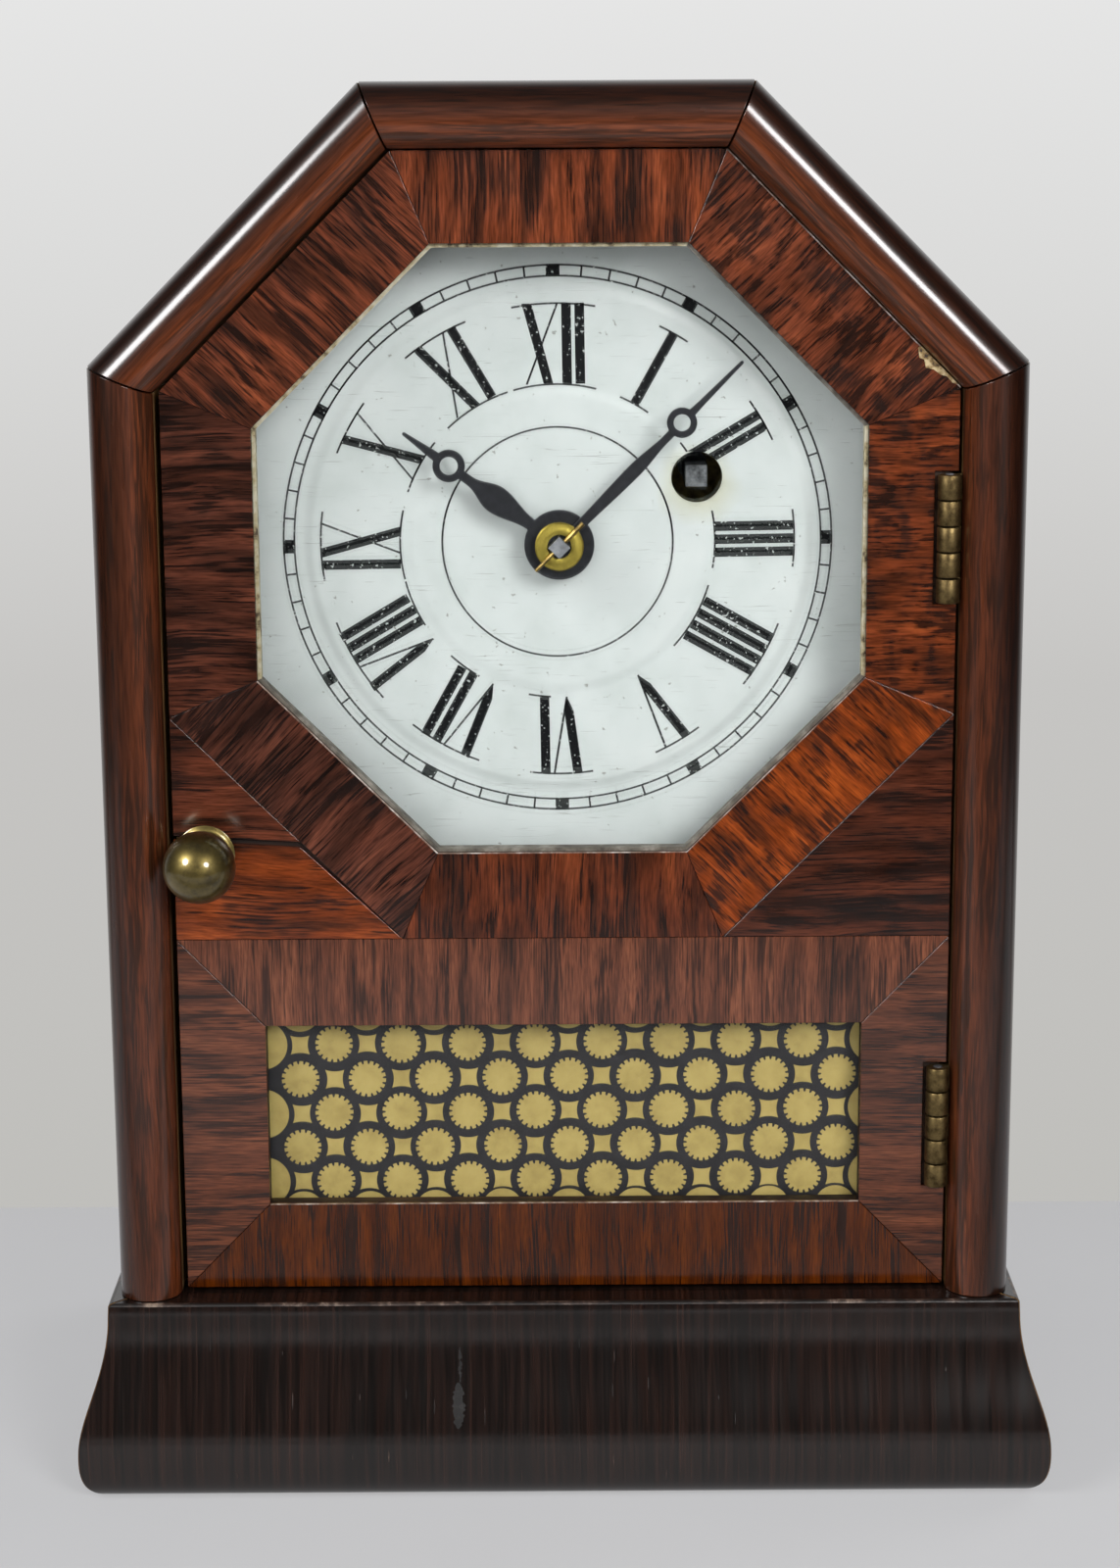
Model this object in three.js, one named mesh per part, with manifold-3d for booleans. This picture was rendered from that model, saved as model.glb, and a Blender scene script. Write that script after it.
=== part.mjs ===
// Small shelf clock with an octagonal top: veneered softwood case, hinged glazed door, and a
// spring-driven thirty-hour movement with a short pendulum behind a painted dial.
// Millimetres, +Z up, front towards -Y. Depths are measured back from the face of the door, and the
// outermost group then shifts the clock so that its origin lies under the middle of its box.
import * as THREE from 'three';
import { mergeVertices } from 'three/addons/utils/BufferGeometryUtils.js';
import Module from 'manifold-3d';

const wasm = await Module();
wasm.setup();

// Driving dimensions of the case
const CASE_HALF = 76.2; // half width, and the apothem of the octagon that shapes the top
const OCTAGON_Z = 161.1; // height of that octagon's centre
const BOARD = 10.5; // thickness of the case boards and width of the half-round moulding
const CASE_BACK = 84; // depth of the back face behind the door's face
const BACK_BOARD = 6;
const GLUE = 0.1; // glue line between square-set pieces
const MITRE_GAP = 0.15; // glue line on each side of a mitre
const EIGHTH = Math.tan(Math.PI / 8); // half a side of a regular octagon over its apothem

// Driving dimensions of the base
const BASE_TOP = 34;
const BASE_HALF = 77.95; // half width at the top edge
const BASE_FRONT = -6.2; // depth of the top front edge
const BASE_WALL = 15.5; // thickness of the base mouldings at their top edge
const BASE_FLARE = 5.25; // how far the ogee swells out past the top edge
const BASE_FOOT = 1.45; // how far the foot stands out past the top edge
const FLOOR_BOARD = 10;

// Driving dimensions of the door
const DOOR_X = 0.2;
const DOOR_Z = 161.6; // centre of the door's octagon
const DOOR_HALF = 65;
const DOOR_BOTTOM = 34.6;
const DOOR_THICK = 11;
const VENEER = 0.9;
const EDGE_RELIEF = 0.6; // the core is planed back from the veneer's edge so that it clears the case
const OPENING = 50.2; // apothem of the glazed octagon
const TABLET_HALF = 50.4;
const TABLET_BOTTOM = 49.7;
const TABLET_TOP = 81.4;
const REBATE = 3.3; // how far the glass runs under the frame
const GLASS_FRONT = 3.2;
const GLASS_THICK = 1.6;

// Driving dimensions of the hinges
const HINGE_X = 63.6;
const HINGE_Y = -1;
const HINGE_LENGTH = 21.3;
const HINGE_MIDDLES = { upper: 163.9, lower: 63.4 };
const KNUCKLES = 5;
const BARREL_RADIUS = 1.95;
const PIN_RADIUS = 0.75;
const PIN_BORE = 0.82;
const LEAF = 0.6; // sheet thickness
const LEAF_BACK = 8; // how deep the leaves run back
const CASE_LEAF_X = 65.05;
const DOOR_LEAF_X = 64.2;
const HINGE_ROOM = 0.3; // clearance cut into the door round each hinge

// Driving dimensions of the knob and the latch behind it
const KNOB_X = -59.5;
const KNOB_Z = 111.4;
const KNOB_RADIUS = 6;
const KNOB_FRONT = -15.2;
const STEM_RADIUS = 1.6;
const ROSETTE_RADIUS = 5.2;
const TONGUE_FRONT = 12.4;
const TONGUE_BACK = 13.4;

// Driving dimensions of the dial and the hands
const DIAL_Z = 161.8;
const DIAL_FRONT = 15.2;
const DIAL_SHEET = 0.6;
const DIAL_BOTTOM = 104;
const HOUR_HAND = { length: 32, clockwise: 306, front: 9.4, hub: 5.85, bore: 2.96 };
const MINUTE_HAND = { length: 43, front: 7.9, hub: 3.3, square: 1.4 };
const HAND_SHEET = 0.7;
const WASHER = { radius: 4.06, front: 7.25, back: 7.75 };

// Driving dimensions of the movement: axes are across and up from the dial's centre
const CENTRE = { x: 0, z: 0 };
const WINDING = { x: 23.1, z: 10.6 };
const THIRD = { x: -4, z: 20.5 };
const ESCAPE = { x: -9, z: 37.8 };
const VERGE = { x: -9, z: 51.3 };
const SUSPENSION = { x: -9, z: 56 };
const MINUTE_STUD = { x: 6, z: -10.4 };
const PILLARS = [
  { name: 'pillar_lower_left', x: -20, z: -14 },
  { name: 'pillar_lower_right', x: 48, z: -14 },
  { name: 'pillar_upper_left', x: -21, z: 30 },
  { name: 'pillar_upper_right', x: 46, z: 36 },
];
const FRONT_PLATE = 34;
const BACK_PLATE = 68;
const PLATE = 1.5;
const GREAT_TEETH = 72;
const CENTRE_LEAVES = 9;
const CENTRE_TEETH = 66;
const THIRD_LEAVES = 6;
const THIRD_TEETH = 66;
const ESCAPE_LEAVES = 6;
const ESCAPE_TEETH = 40;
const ESCAPE_RADIUS = 10.5;
const CANNON_LEAVES = 12;
const MINUTE_TEETH = 36;
const MINUTE_LEAVES = 10;
const HOUR_TEETH = 40;
const WINDING_SQUARE = 3.6;
const CENTRE_SQUARE = 2.6;

// Driving dimensions of the pendulum
const ROD_Y = 21;
const ROD_RADIUS = 0.7;
const BOB_DROP = 140; // from the suspension to the middle of the bob
const BOB_RADIUS = 15;
const BOB_HALF_THICK = 4;

// Finishes
const ROSEWOOD = { color: 0x6b3320, roughness: 0.35, metalness: 0 };
const DARK_ROSEWOOD = { color: 0x2c1b17, roughness: 0.4, metalness: 0 };
const SOFTWOOD = { color: 0x9a7448, roughness: 0.8, metalness: 0 };
const BRASS = { color: 0xa58c4e, roughness: 0.35, metalness: 1 };
const STEEL = { color: 0x8c9096, roughness: 0.35, metalness: 1 };
const BLUED_STEEL = { color: 0x14151a, roughness: 0.4, metalness: 0.6 };
const DIAL_PAINT = { color: 0xdce2e0, roughness: 0.5, metalness: 0 };
const CLEAR_GLASS = { color: 0xdfeeea, roughness: 0.05, metalness: 0, transparent: true, opacity: 0.25 };
const TABLET_PAINT = { color: 0x7d7040, roughness: 0.25, metalness: 0 };

const clock = new THREE.Group();

function piece(name, geometry, finish, place = { x: 0, y: 0, z: 0 }) {
  const mesh = new THREE.Mesh(geometry, new THREE.MeshStandardMaterial(finish));
  mesh.name = name;
  mesh.position.set(place.x, place.y, place.z);
  clock.add(mesh);
  return mesh;
}

// A point on the dial's plane turned to a place in the clock
function onDial(axis) {
  return { x: axis.x, y: 0, z: DIAL_Z + axis.z };
}

// Joining and cutting of closed meshes
function solid(geometry) {
  const bare = geometry.clone();
  bare.deleteAttribute('normal');
  bare.deleteAttribute('uv');
  const merged = mergeVertices(bare, 1e-5);
  const corners = merged.index.array;
  const faces = [];
  for (let i = 0; i < corners.length; i += 3) {
    const [a, b, c] = [corners[i], corners[i + 1], corners[i + 2]];
    if (a !== b && b !== c && c !== a) {
      faces.push(a, b, c);
    }
  }
  const vertProperties = new Float32Array(merged.attributes.position.array);
  const triVerts = new Uint32Array(faces);
  return new wasm.Manifold(new wasm.Mesh({ numProp: 3, vertProperties, triVerts }));
}

function geometryOf(body) {
  const mesh = body.getMesh();
  const geometry = new THREE.BufferGeometry();
  geometry.setAttribute('position', new THREE.BufferAttribute(mesh.vertProperties, 3));
  geometry.setIndex(new THREE.BufferAttribute(mesh.triVerts, 1));
  geometry.computeVertexNormals();
  return geometry;
}

function join(...geometries) {
  return geometryOf(geometries.map(solid).reduce((whole, next) => whole.add(next)));
}

function cut(geometry, ...tools) {
  return geometryOf(tools.map(solid).reduce((rest, tool) => rest.subtract(tool), solid(geometry)));
}

// Outlines are drawn in the plane of the dial, as [across, up], and angles run clockwise from twelve
function outline(points) {
  const corners = points.map(([x, z]) => new THREE.Vector2(x, z));
  return new THREE.Shape(THREE.ShapeUtils.isClockWise(corners) ? corners.reverse() : corners);
}

function clockPoint(radius, angle) {
  return [radius * Math.sin(angle), radius * Math.cos(angle)];
}

function circle(radius, sides = 20, x = 0, z = 0) {
  const points = [];
  for (let i = 0; i < sides; i += 1) {
    const [dx, dz] = clockPoint(radius, (2 * Math.PI * i) / sides);
    points.push([x + dx, z + dz]);
  }
  return points;
}

// A flat piece: its outline, any holes through it, and the depths of its front and back
function flat(points, front, back, holes = []) {
  const shape = outline(points);
  shape.holes = holes.map((hole) => new THREE.Path(hole.map(([x, z]) => new THREE.Vector2(x, z))));
  const geometry = new THREE.ExtrudeGeometry(shape, { depth: back - front, bevelEnabled: false });
  geometry.rotateX(Math.PI / 2);
  geometry.translate(0, back, 0);
  return geometry;
}

function box(low, high) {
  const size = high.map((value, i) => value - low[i]);
  const geometry = new THREE.BoxGeometry(...size);
  return geometry.translate(...low.map((value, i) => value + size[i] / 2));
}

// A round bar along the depth of the clock
function bar(radius, front, back, sides = 16, x = 0, z = 0) {
  const geometry = new THREE.CylinderGeometry(radius, radius, back - front, sides);
  return geometry.translate(x, (front + back) / 2, z);
}

// A round bar standing upright
function upright(radius, bottom, top, sides = 16, x = 0, y = 0) {
  const geometry = new THREE.CylinderGeometry(radius, radius, top - bottom, sides);
  geometry.rotateX(Math.PI / 2);
  return geometry.translate(x, y, (bottom + top) / 2);
}

// A turned piece on an axis that runs along the depth: [radius, depth] from one end to the other
function turned(profile, sides = 20) {
  return new THREE.LatheGeometry(profile.map(([radius, y]) => new THREE.Vector2(radius, y)), sides);
}

// A moulding cut to length with mitred ends: the slopes say how much longer it gets outwards
function mitredBar(section, length, startSlope, endSlope) {
  const settings = { depth: length, bevelEnabled: false, curveSegments: 7 };
  const geometry = new THREE.ExtrudeGeometry(section, settings);
  const position = geometry.attributes.position;
  for (let i = 0; i < position.count; i += 1) {
    const outward = position.getX(i);
    const atEnd = position.getZ(i) > length / 2;
    position.setZ(i, atEnd ? length + outward * endSlope : -outward * startSlope);
  }
  geometry.computeVertexNormals();
  return geometry;
}

// Sets a bar's start, the way its section faces outwards, and its section's second direction
function setBar(mesh, start, outward, second) {
  const along = new THREE.Vector3().crossVectors(outward, second);
  mesh.setRotationFromMatrix(new THREE.Matrix4().makeBasis(outward, second, along));
  mesh.position.copy(start);
}

// Base: three ogee mouldings mitred at the front corners, and the floor board between them
const baseSection = new THREE.Shape();
baseSection.moveTo(0, 0);
baseSection.lineTo(BASE_WALL + BASE_FOOT, 0);
baseSection.bezierCurveTo(
  BASE_WALL + BASE_FLARE - 0.5, 1.2,
  BASE_WALL + BASE_FLARE + 0.2, 4.6,
  BASE_WALL + BASE_FLARE, 8.8,
);
baseSection.bezierCurveTo(
  BASE_WALL + BASE_FLARE - 0.2, 15.5,
  BASE_WALL + 0.3, 21.5,
  BASE_WALL + 0.1, BASE_TOP - 2.5,
);
baseSection.lineTo(BASE_WALL, BASE_TOP);
baseSection.lineTo(0, BASE_TOP);

const UP = new THREE.Vector3(0, 0, 1);
const baseInnerX = BASE_HALF - BASE_WALL;
const baseInnerY = BASE_FRONT + BASE_WALL;
const baseSideLength = CASE_BACK - baseInnerY - MITRE_GAP;
const baseFrontLength = 2 * (baseInnerX - MITRE_GAP);

const frontBar = mitredBar(baseSection, baseFrontLength, 1, 1);
const baseFront = piece('base_front_moulding', frontBar, DARK_ROSEWOOD);
const baseFrontStart = new THREE.Vector3(baseInnerX - MITRE_GAP, baseInnerY, 0);
setBar(baseFront, baseFrontStart, new THREE.Vector3(0, -1, 0), UP);

const rightBar = mitredBar(baseSection, baseSideLength, 0, 1);
const baseRight = piece('base_right_moulding', rightBar, DARK_ROSEWOOD);
setBar(baseRight, new THREE.Vector3(baseInnerX, CASE_BACK, 0), new THREE.Vector3(1, 0, 0), UP);

const leftBar = mitredBar(baseSection, baseSideLength, 1, 0);
const baseLeft = piece('base_left_moulding', leftBar, DARK_ROSEWOOD);
const baseLeftStart = new THREE.Vector3(-baseInnerX, baseInnerY + MITRE_GAP, 0);
setBar(baseLeft, baseLeftStart, new THREE.Vector3(-1, 0, 0), UP);

const boardBack = CASE_BACK - BACK_BOARD - GLUE;
const floorHalf = baseInnerX - GLUE;
const floorGeometry = box(
  [-floorHalf, baseInnerY + GLUE, BASE_TOP - FLOOR_BOARD],
  [floorHalf, boardBack, BASE_TOP],
);
piece('floor_board', floorGeometry, SOFTWOOD);

// Case: five boards round the upper half of an octagon, each with a half-round moulding on its front edge
const INNER = CASE_HALF - BOARD;
const boardSection = outline([[0, GLUE], [BOARD, GLUE], [BOARD, boardBack], [0, boardBack]]);
const mouldingSection = new THREE.Shape();
mouldingSection.absarc(BOARD / 2, 0, BOARD / 2, Math.PI, 2 * Math.PI, false);

const caseStretches = [
  { name: 'right_column', turn: 0, bottom: true },
  { name: 'right_slope', turn: 1 },
  { name: 'top', turn: 2 },
  { name: 'left_slope', turn: 3 },
  { name: 'left_column', turn: 4, bottom: true },
];
const halfSide = INNER * EIGHTH;
const columnDrop = OCTAGON_Z - BASE_TOP - GLUE;

for (const { name, turn, bottom } of caseStretches) {
  const angle = (turn * Math.PI) / 4;
  const outward = new THREE.Vector3(Math.cos(angle), 0, Math.sin(angle));
  const back = new THREE.Vector3(0, 1, 0);
  const along = new THREE.Vector3().crossVectors(outward, back);
  const startsAtBase = bottom && turn === 0;
  const endsAtBase = bottom && turn !== 0;
  const before = startsAtBase ? columnDrop : halfSide - MITRE_GAP;
  const after = endsAtBase ? columnDrop : halfSide - MITRE_GAP;
  const startSlope = startsAtBase ? 0 : EIGHTH;
  const endSlope = endsAtBase ? 0 : EIGHTH;
  const start = outward.clone().multiplyScalar(INNER).addScaledVector(along, -before);
  start.z += OCTAGON_Z;
  const board = mitredBar(boardSection, before + after, startSlope, endSlope);
  setBar(piece(`case_${name}_board`, board, DARK_ROSEWOOD), start, outward, back);
  const moulding = mitredBar(mouldingSection, before + after, startSlope, endSlope);
  setBar(piece(`moulding_${name}`, moulding, ROSEWOOD), start, outward, back);
}

// Half an octagon's outline, open downwards to a level foot
function domed(apothem, centreX, centreZ, bottom) {
  const side = apothem * EIGHTH;
  return [
    [centreX - apothem, bottom],
    [centreX + apothem, bottom],
    [centreX + apothem, centreZ + side],
    [centreX + side, centreZ + apothem],
    [centreX - side, centreZ + apothem],
    [centreX - apothem, centreZ + side],
  ];
}

const shelf = BASE_TOP + GLUE;
const backFoot = [[-floorHalf, shelf], [-floorHalf, 0], [floorHalf, 0], [floorHalf, shelf]];
const backDome = domed(CASE_HALF, 0, OCTAGON_Z, shelf);
const backOutline = [backDome[0], ...backFoot, ...backDome.slice(1)];
piece('back_board', flat(backOutline, CASE_BACK - BACK_BOARD, CASE_BACK), SOFTWOOD);

// Door: softwood core rebated for the glass, and the veneer on its face
function octagon(apothem) {
  const side = apothem * EIGHTH;
  const upper = [[apothem, -side], [apothem, side], [side, apothem], [-side, apothem]];
  const lower = upper.map(([x, z]) => [-x, -z]);
  return [...upper, ...lower].map(([x, z]) => [DOOR_X + x, DOOR_Z + z]);
}

function tablet(margin) {
  const left = DOOR_X - TABLET_HALF - margin;
  const right = DOOR_X + TABLET_HALF + margin;
  const bottom = TABLET_BOTTOM - margin;
  const top = TABLET_TOP + margin;
  return [[left, bottom], [right, bottom], [right, top], [left, top]];
}

const hingeTools = Object.values(HINGE_MIDDLES).flatMap((middle) => {
  const low = middle - HINGE_LENGTH / 2 - HINGE_ROOM;
  const high = middle + HINGE_LENGTH / 2 + HINGE_ROOM;
  const barrelRoom = upright(BARREL_RADIUS + HINGE_ROOM, low, high, 16, HINGE_X, HINGE_Y);
  const leafRoom = box([DOOR_LEAF_X - 0.1, -1, low], [DOOR_HALF + 2, LEAF_BACK + 0.4, high]);
  return [barrelRoom, leafRoom];
});
const stemRoom = bar(STEM_RADIUS + 0.3, -1, DOOR_THICK + 1, 16, KNOB_X, KNOB_Z);

const coreOutline = domed(DOOR_HALF - EDGE_RELIEF, DOOR_X, DOOR_Z, DOOR_BOTTOM + EDGE_RELIEF);
const lipHoles = [octagon(OPENING), tablet(0)];
const rebateHoles = [octagon(OPENING + REBATE), tablet(REBATE)];
const lip = flat(coreOutline, VENEER + GLUE, GLASS_FRONT - GLUE, lipHoles);
const rebated = flat(coreOutline, GLASS_FRONT - GLUE, DOOR_THICK, rebateHoles);
piece('door_frame', cut(join(lip, rebated), ...hingeTools, stemRoom), SOFTWOOD);

const veneer = flat(domed(DOOR_HALF, DOOR_X, DOOR_Z, DOOR_BOTTOM), 0, VENEER, lipHoles);
piece('door_veneer', cut(veneer, ...hingeTools, stemRoom), ROSEWOOD);

const glassBack = GLASS_FRONT + GLASS_THICK;
const GLASS_PLAY = 0.4;
piece('door_glass', flat(octagon(OPENING + REBATE - GLASS_PLAY), GLASS_FRONT, glassBack), CLEAR_GLASS);
piece('tablet_glass', flat(tablet(REBATE - GLASS_PLAY), GLASS_FRONT, glassBack), TABLET_PAINT);

// Hinges: three knuckles on the case's leaf, two on the door's, and a pin through all five
const knuckle = HINGE_LENGTH / KNUCKLES;
const KNUCKLE_GAP = 0.1;
const CASE_TAB = { front: HINGE_Y, back: 0.6 };
const DOOR_TAB = { front: 0.3, back: 1.2 };

function hingeLeaf(middle, first, sheetX, tab) {
  const bottom = middle - HINGE_LENGTH / 2;
  const sheet = box([sheetX, tab.back - 0.1, bottom], [sheetX + LEAF, LEAF_BACK, bottom + HINGE_LENGTH]);
  const parts = [sheet];
  for (let i = first; i < KNUCKLES; i += 2) {
    const low = bottom + i * knuckle + KNUCKLE_GAP;
    const high = bottom + (i + 1) * knuckle - KNUCKLE_GAP;
    parts.push(upright(BARREL_RADIUS, low, high, 12, HINGE_X, HINGE_Y));
    parts.push(box([sheetX, tab.front, low], [sheetX + LEAF, tab.back, high]));
  }
  const bore = upright(PIN_BORE, bottom - 1, bottom + HINGE_LENGTH + 1, 10, HINGE_X, HINGE_Y);
  return cut(join(...parts), bore);
}

for (const [level, middle] of Object.entries(HINGE_MIDDLES)) {
  piece(`hinge_${level}_case_leaf`, hingeLeaf(middle, 0, CASE_LEAF_X, CASE_TAB), BRASS);
  piece(`hinge_${level}_door_leaf`, hingeLeaf(middle, 1, DOOR_LEAF_X, DOOR_TAB), BRASS);
  const low = middle - HINGE_LENGTH / 2;
  const pin = upright(PIN_RADIUS, low, low + HINGE_LENGTH, 10, HINGE_X, HINGE_Y);
  piece(`hinge_${level}_pin`, pin, STEEL);
}

// Knob with its stem through the door, the rosette under it, the tongue behind it and the keeper
const ballMiddle = KNOB_FRONT + KNOB_RADIUS;
const knobProfile = [];
const BALL_STEPS = 7;
const BALL_END = 2.6; // radians from the front pole to the neck
for (let i = 0; i <= BALL_STEPS; i += 1) {
  const angle = (BALL_END * i) / BALL_STEPS;
  knobProfile.push([KNOB_RADIUS * Math.sin(angle), ballMiddle - KNOB_RADIUS * Math.cos(angle)]);
}
knobProfile.push([2.7, -2.6], [3.6, -1.8], [3.6, -1.4], [STEM_RADIUS, -1.4]);
knobProfile.push([STEM_RADIUS, TONGUE_BACK + 0.5], [0, TONGUE_BACK + 0.5]);
knobProfile[0][0] = 0;
const knobPlace = { x: KNOB_X, y: 0, z: KNOB_Z };
piece('door_knob', turned(knobProfile, 18), BRASS, knobPlace);

const rosetteProfile = [
  [STEM_RADIUS + 0.1, -1.2], [ROSETTE_RADIUS - 1.2, -1.2], [ROSETTE_RADIUS, -0.5],
  [ROSETTE_RADIUS, -GLUE], [STEM_RADIUS + 0.1, -GLUE], [STEM_RADIUS + 0.1, -1.2],
];
piece('knob_rosette', turned(rosetteProfile, 24), BRASS, knobPlace);

const TONGUE_REACH = 4.3;
const tongueOutline = [
  [-2.2, -TONGUE_REACH], [2.2, -TONGUE_REACH], [3, 0], [2, 2.6], [-2, 2.6], [-3, 0],
];
const tongueHoles = [circle(STEM_RADIUS + 0.08, 16)];
piece('latch_tongue', flat(tongueOutline, TONGUE_FRONT, TONGUE_BACK, tongueHoles), BRASS, knobPlace);

const keeperFoot = box([-INNER + 0.1, 11.4, KNOB_Z - 6], [-INNER + 0.8, 14.9, KNOB_Z + 6]);
const keeperLip = box([-INNER + 0.4, 11.4, KNOB_Z - 4.5], [-INNER + 3, 12.1, KNOB_Z + 4.5]);
piece('latch_keeper', join(keeperFoot, keeperLip), BRASS);

// Dial: painted sheet nailed to a cleat on each side of the case
const CLEAT = { thick: 6, front: DIAL_FRONT + DIAL_SHEET + GLUE, back: 27, bottom: 108, top: 186 };
const WINDING_HOLE = 4.3;
const CENTRE_HOLE = 3.6;
const dialOutline = domed(INNER - 0.4, 0, OCTAGON_Z, DIAL_BOTTOM);
const dialHoles = [
  circle(CENTRE_HOLE, 20, CENTRE.x, DIAL_Z + CENTRE.z),
  circle(WINDING_HOLE, 24, WINDING.x, DIAL_Z + WINDING.z),
];
piece('dial_plate', flat(dialOutline, DIAL_FRONT, DIAL_FRONT + DIAL_SHEET, dialHoles), DIAL_PAINT);

for (const [name, side] of [['dial_cleat_left', -1], ['dial_cleat_right', 1]]) {
  const outer = side * (INNER - GLUE);
  const inner = side * (INNER - CLEAT.thick);
  const low = [Math.min(outer, inner), CLEAT.front, CLEAT.bottom];
  const high = [Math.max(outer, inner), CLEAT.back, CLEAT.top];
  piece(name, box(low, high), SOFTWOOD);
}

// Toothed wheels: pointed teeth, the first at the given angle, with a share of the pitch at their roots
function toothed(teeth, pitchRadius, addendum, dedendum, share, first = 0) {
  const pitch = (2 * Math.PI) / teeth;
  const rootHalf = (pitch * share) / 2;
  const points = [];
  for (let i = 0; i < teeth; i += 1) {
    const angle = first + i * pitch;
    points.push(clockPoint(pitchRadius - dedendum, angle - rootHalf));
    points.push(clockPoint(pitchRadius + addendum, angle));
    points.push(clockPoint(pitchRadius - dedendum, angle + rootHalf));
  }
  return points;
}

// Windows between the spokes of a wheel
function windows(spokes, hub, rim, spokeWidth) {
  const steps = 2;
  const paths = [];
  for (let i = 0; i < spokes; i += 1) {
    const from = (2 * Math.PI * i) / spokes;
    const to = (2 * Math.PI * (i + 1)) / spokes;
    const path = [];
    for (const [radius, forwards] of [[rim, true], [hub, false]]) {
      const inset = spokeWidth / 2 / radius;
      for (let k = 0; k <= steps; k += 1) {
        const t = forwards ? k / steps : 1 - k / steps;
        path.push(clockPoint(radius, from + inset + (to - from - 2 * inset) * t));
      }
    }
    paths.push(path);
  }
  return paths;
}

// A lantern pinion: round trundles between two shrouds, with a gap or a trundle at the given angle
function lantern(leaves, pitchRadius, { trundle, shroud, front, back }, first) {
  const SHROUD_THICK = 0.9;
  const INLET = 0.2; // the trundles stop short of the shrouds' outer faces
  const parts = [
    bar(shroud, front, front + SHROUD_THICK, 12),
    bar(shroud, back - SHROUD_THICK, back, 12),
  ];
  for (let i = 0; i < leaves; i += 1) {
    const [x, z] = clockPoint(pitchRadius, first + (2 * Math.PI * i) / leaves);
    parts.push(bar(trundle, front + INLET, back - INLET, 5, x, z));
  }
  return parts;
}

function heading(from, to) {
  return Math.atan2(to.x - from.x, to.z - from.z);
}

function distance(a, b) {
  return Math.hypot(a.x - b.x, a.z - b.z);
}

// The pitch radii of a wheel and the pinion it drives, from their centre distance
function pitchRadii(a, b, wheelTeeth, pinionLeaves) {
  const unit = distance(a, b) / (wheelTeeth + pinionLeaves);
  return { wheel: wheelTeeth * unit, pinion: pinionLeaves * unit };
}

const ADDENDUM = 0.34;
const DEDENDUM = 0.85;
const TOOTH_SHARE = 0.5;

// The first trundle of a pinion stands half a pitch off the line to the wheel that drives it
function trundleStart(pinionAxis, wheelAxis, leaves) {
  return heading(pinionAxis, wheelAxis) + Math.PI / leaves;
}

// Movement frame: two brass plates held apart by four pillars, on a board at the back of the case
const plateOutline = [
  [-25, -19], [52, -19], [52, 37], [42, 45], [-2, 45], [-2, 60], [-16, 60], [-16, 45], [-25, 40],
];
const PIVOT = 0.6;
const PIVOT_HOLE = 0.66;
const ROOTED = 0.5; // how far studs and steps run into the piece that they stand on
const ARBOR_BACK = BACK_PLATE + PLATE;
const RUNNING = 0.06; // play of a round arbor in its hole
const CENTRE_ARBOR = { front: 1.85, middle: 1.5, back: 0.8 };
const WINDING_ARBOR = { middle: 2.5, back: 2 };
const ESCAPE_PASSAGE = 1.2; // the escape arbor goes through the front plate without touching it
const frontHoles = [
  circle(CENTRE_ARBOR.middle + RUNNING, 16, CENTRE.x, CENTRE.z),
  circle(WINDING_ARBOR.middle + RUNNING, 16, WINDING.x, WINDING.z),
  circle(PIVOT_HOLE, 12, THIRD.x, THIRD.z),
  circle(ESCAPE_PASSAGE, 12, ESCAPE.x, ESCAPE.z),
];
const backHoles = [
  circle(CENTRE_ARBOR.back + RUNNING, 12, CENTRE.x, CENTRE.z),
  circle(WINDING_ARBOR.back + RUNNING, 16, WINDING.x, WINDING.z),
  circle(PIVOT_HOLE, 12, THIRD.x, THIRD.z),
  circle(PIVOT_HOLE, 12, ESCAPE.x, ESCAPE.z),
];
const STUD_FRONT = 22.6;
const MINUTE_STUD_RADIUS = 0.9;
const VERGE_PIN = 0.6;
const studBack = FRONT_PLATE + ROOTED;
const minuteStud = bar(MINUTE_STUD_RADIUS, STUD_FRONT, studBack, 12, MINUTE_STUD.x, MINUTE_STUD.z);
const vergePin = bar(VERGE_PIN, STUD_FRONT, studBack, 12, VERGE.x, VERGE.z);
const frontSheet = flat(plateOutline, FRONT_PLATE, FRONT_PLATE + PLATE, frontHoles);
const dialAxis = onDial(CENTRE);
piece('front_plate', join(frontSheet, minuteStud, vergePin), BRASS, dialAxis);
piece('back_plate', flat(plateOutline, BACK_PLATE, ARBOR_BACK, backHoles), BRASS, dialAxis);
const PILLAR_RADIUS = 2.4;
for (const { name, x, z } of PILLARS) {
  const pillar = bar(PILLAR_RADIUS, FRONT_PLATE + PLATE + GLUE, BACK_PLATE - GLUE, 12);
  piece(name, pillar, STEEL, onDial({ x, z }));
}
const BOARD_EDGES = { left: -32, right: 58, bottom: -24, top: 30 };
const movementBoard = box(
  [BOARD_EDGES.left, ARBOR_BACK + ROOTED, DIAL_Z + BOARD_EDGES.bottom],
  [BOARD_EDGES.right, CASE_BACK - BACK_BOARD - GLUE, DIAL_Z + BOARD_EDGES.top],
);
piece('movement_board', movementBoard, SOFTWOOD);

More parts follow.
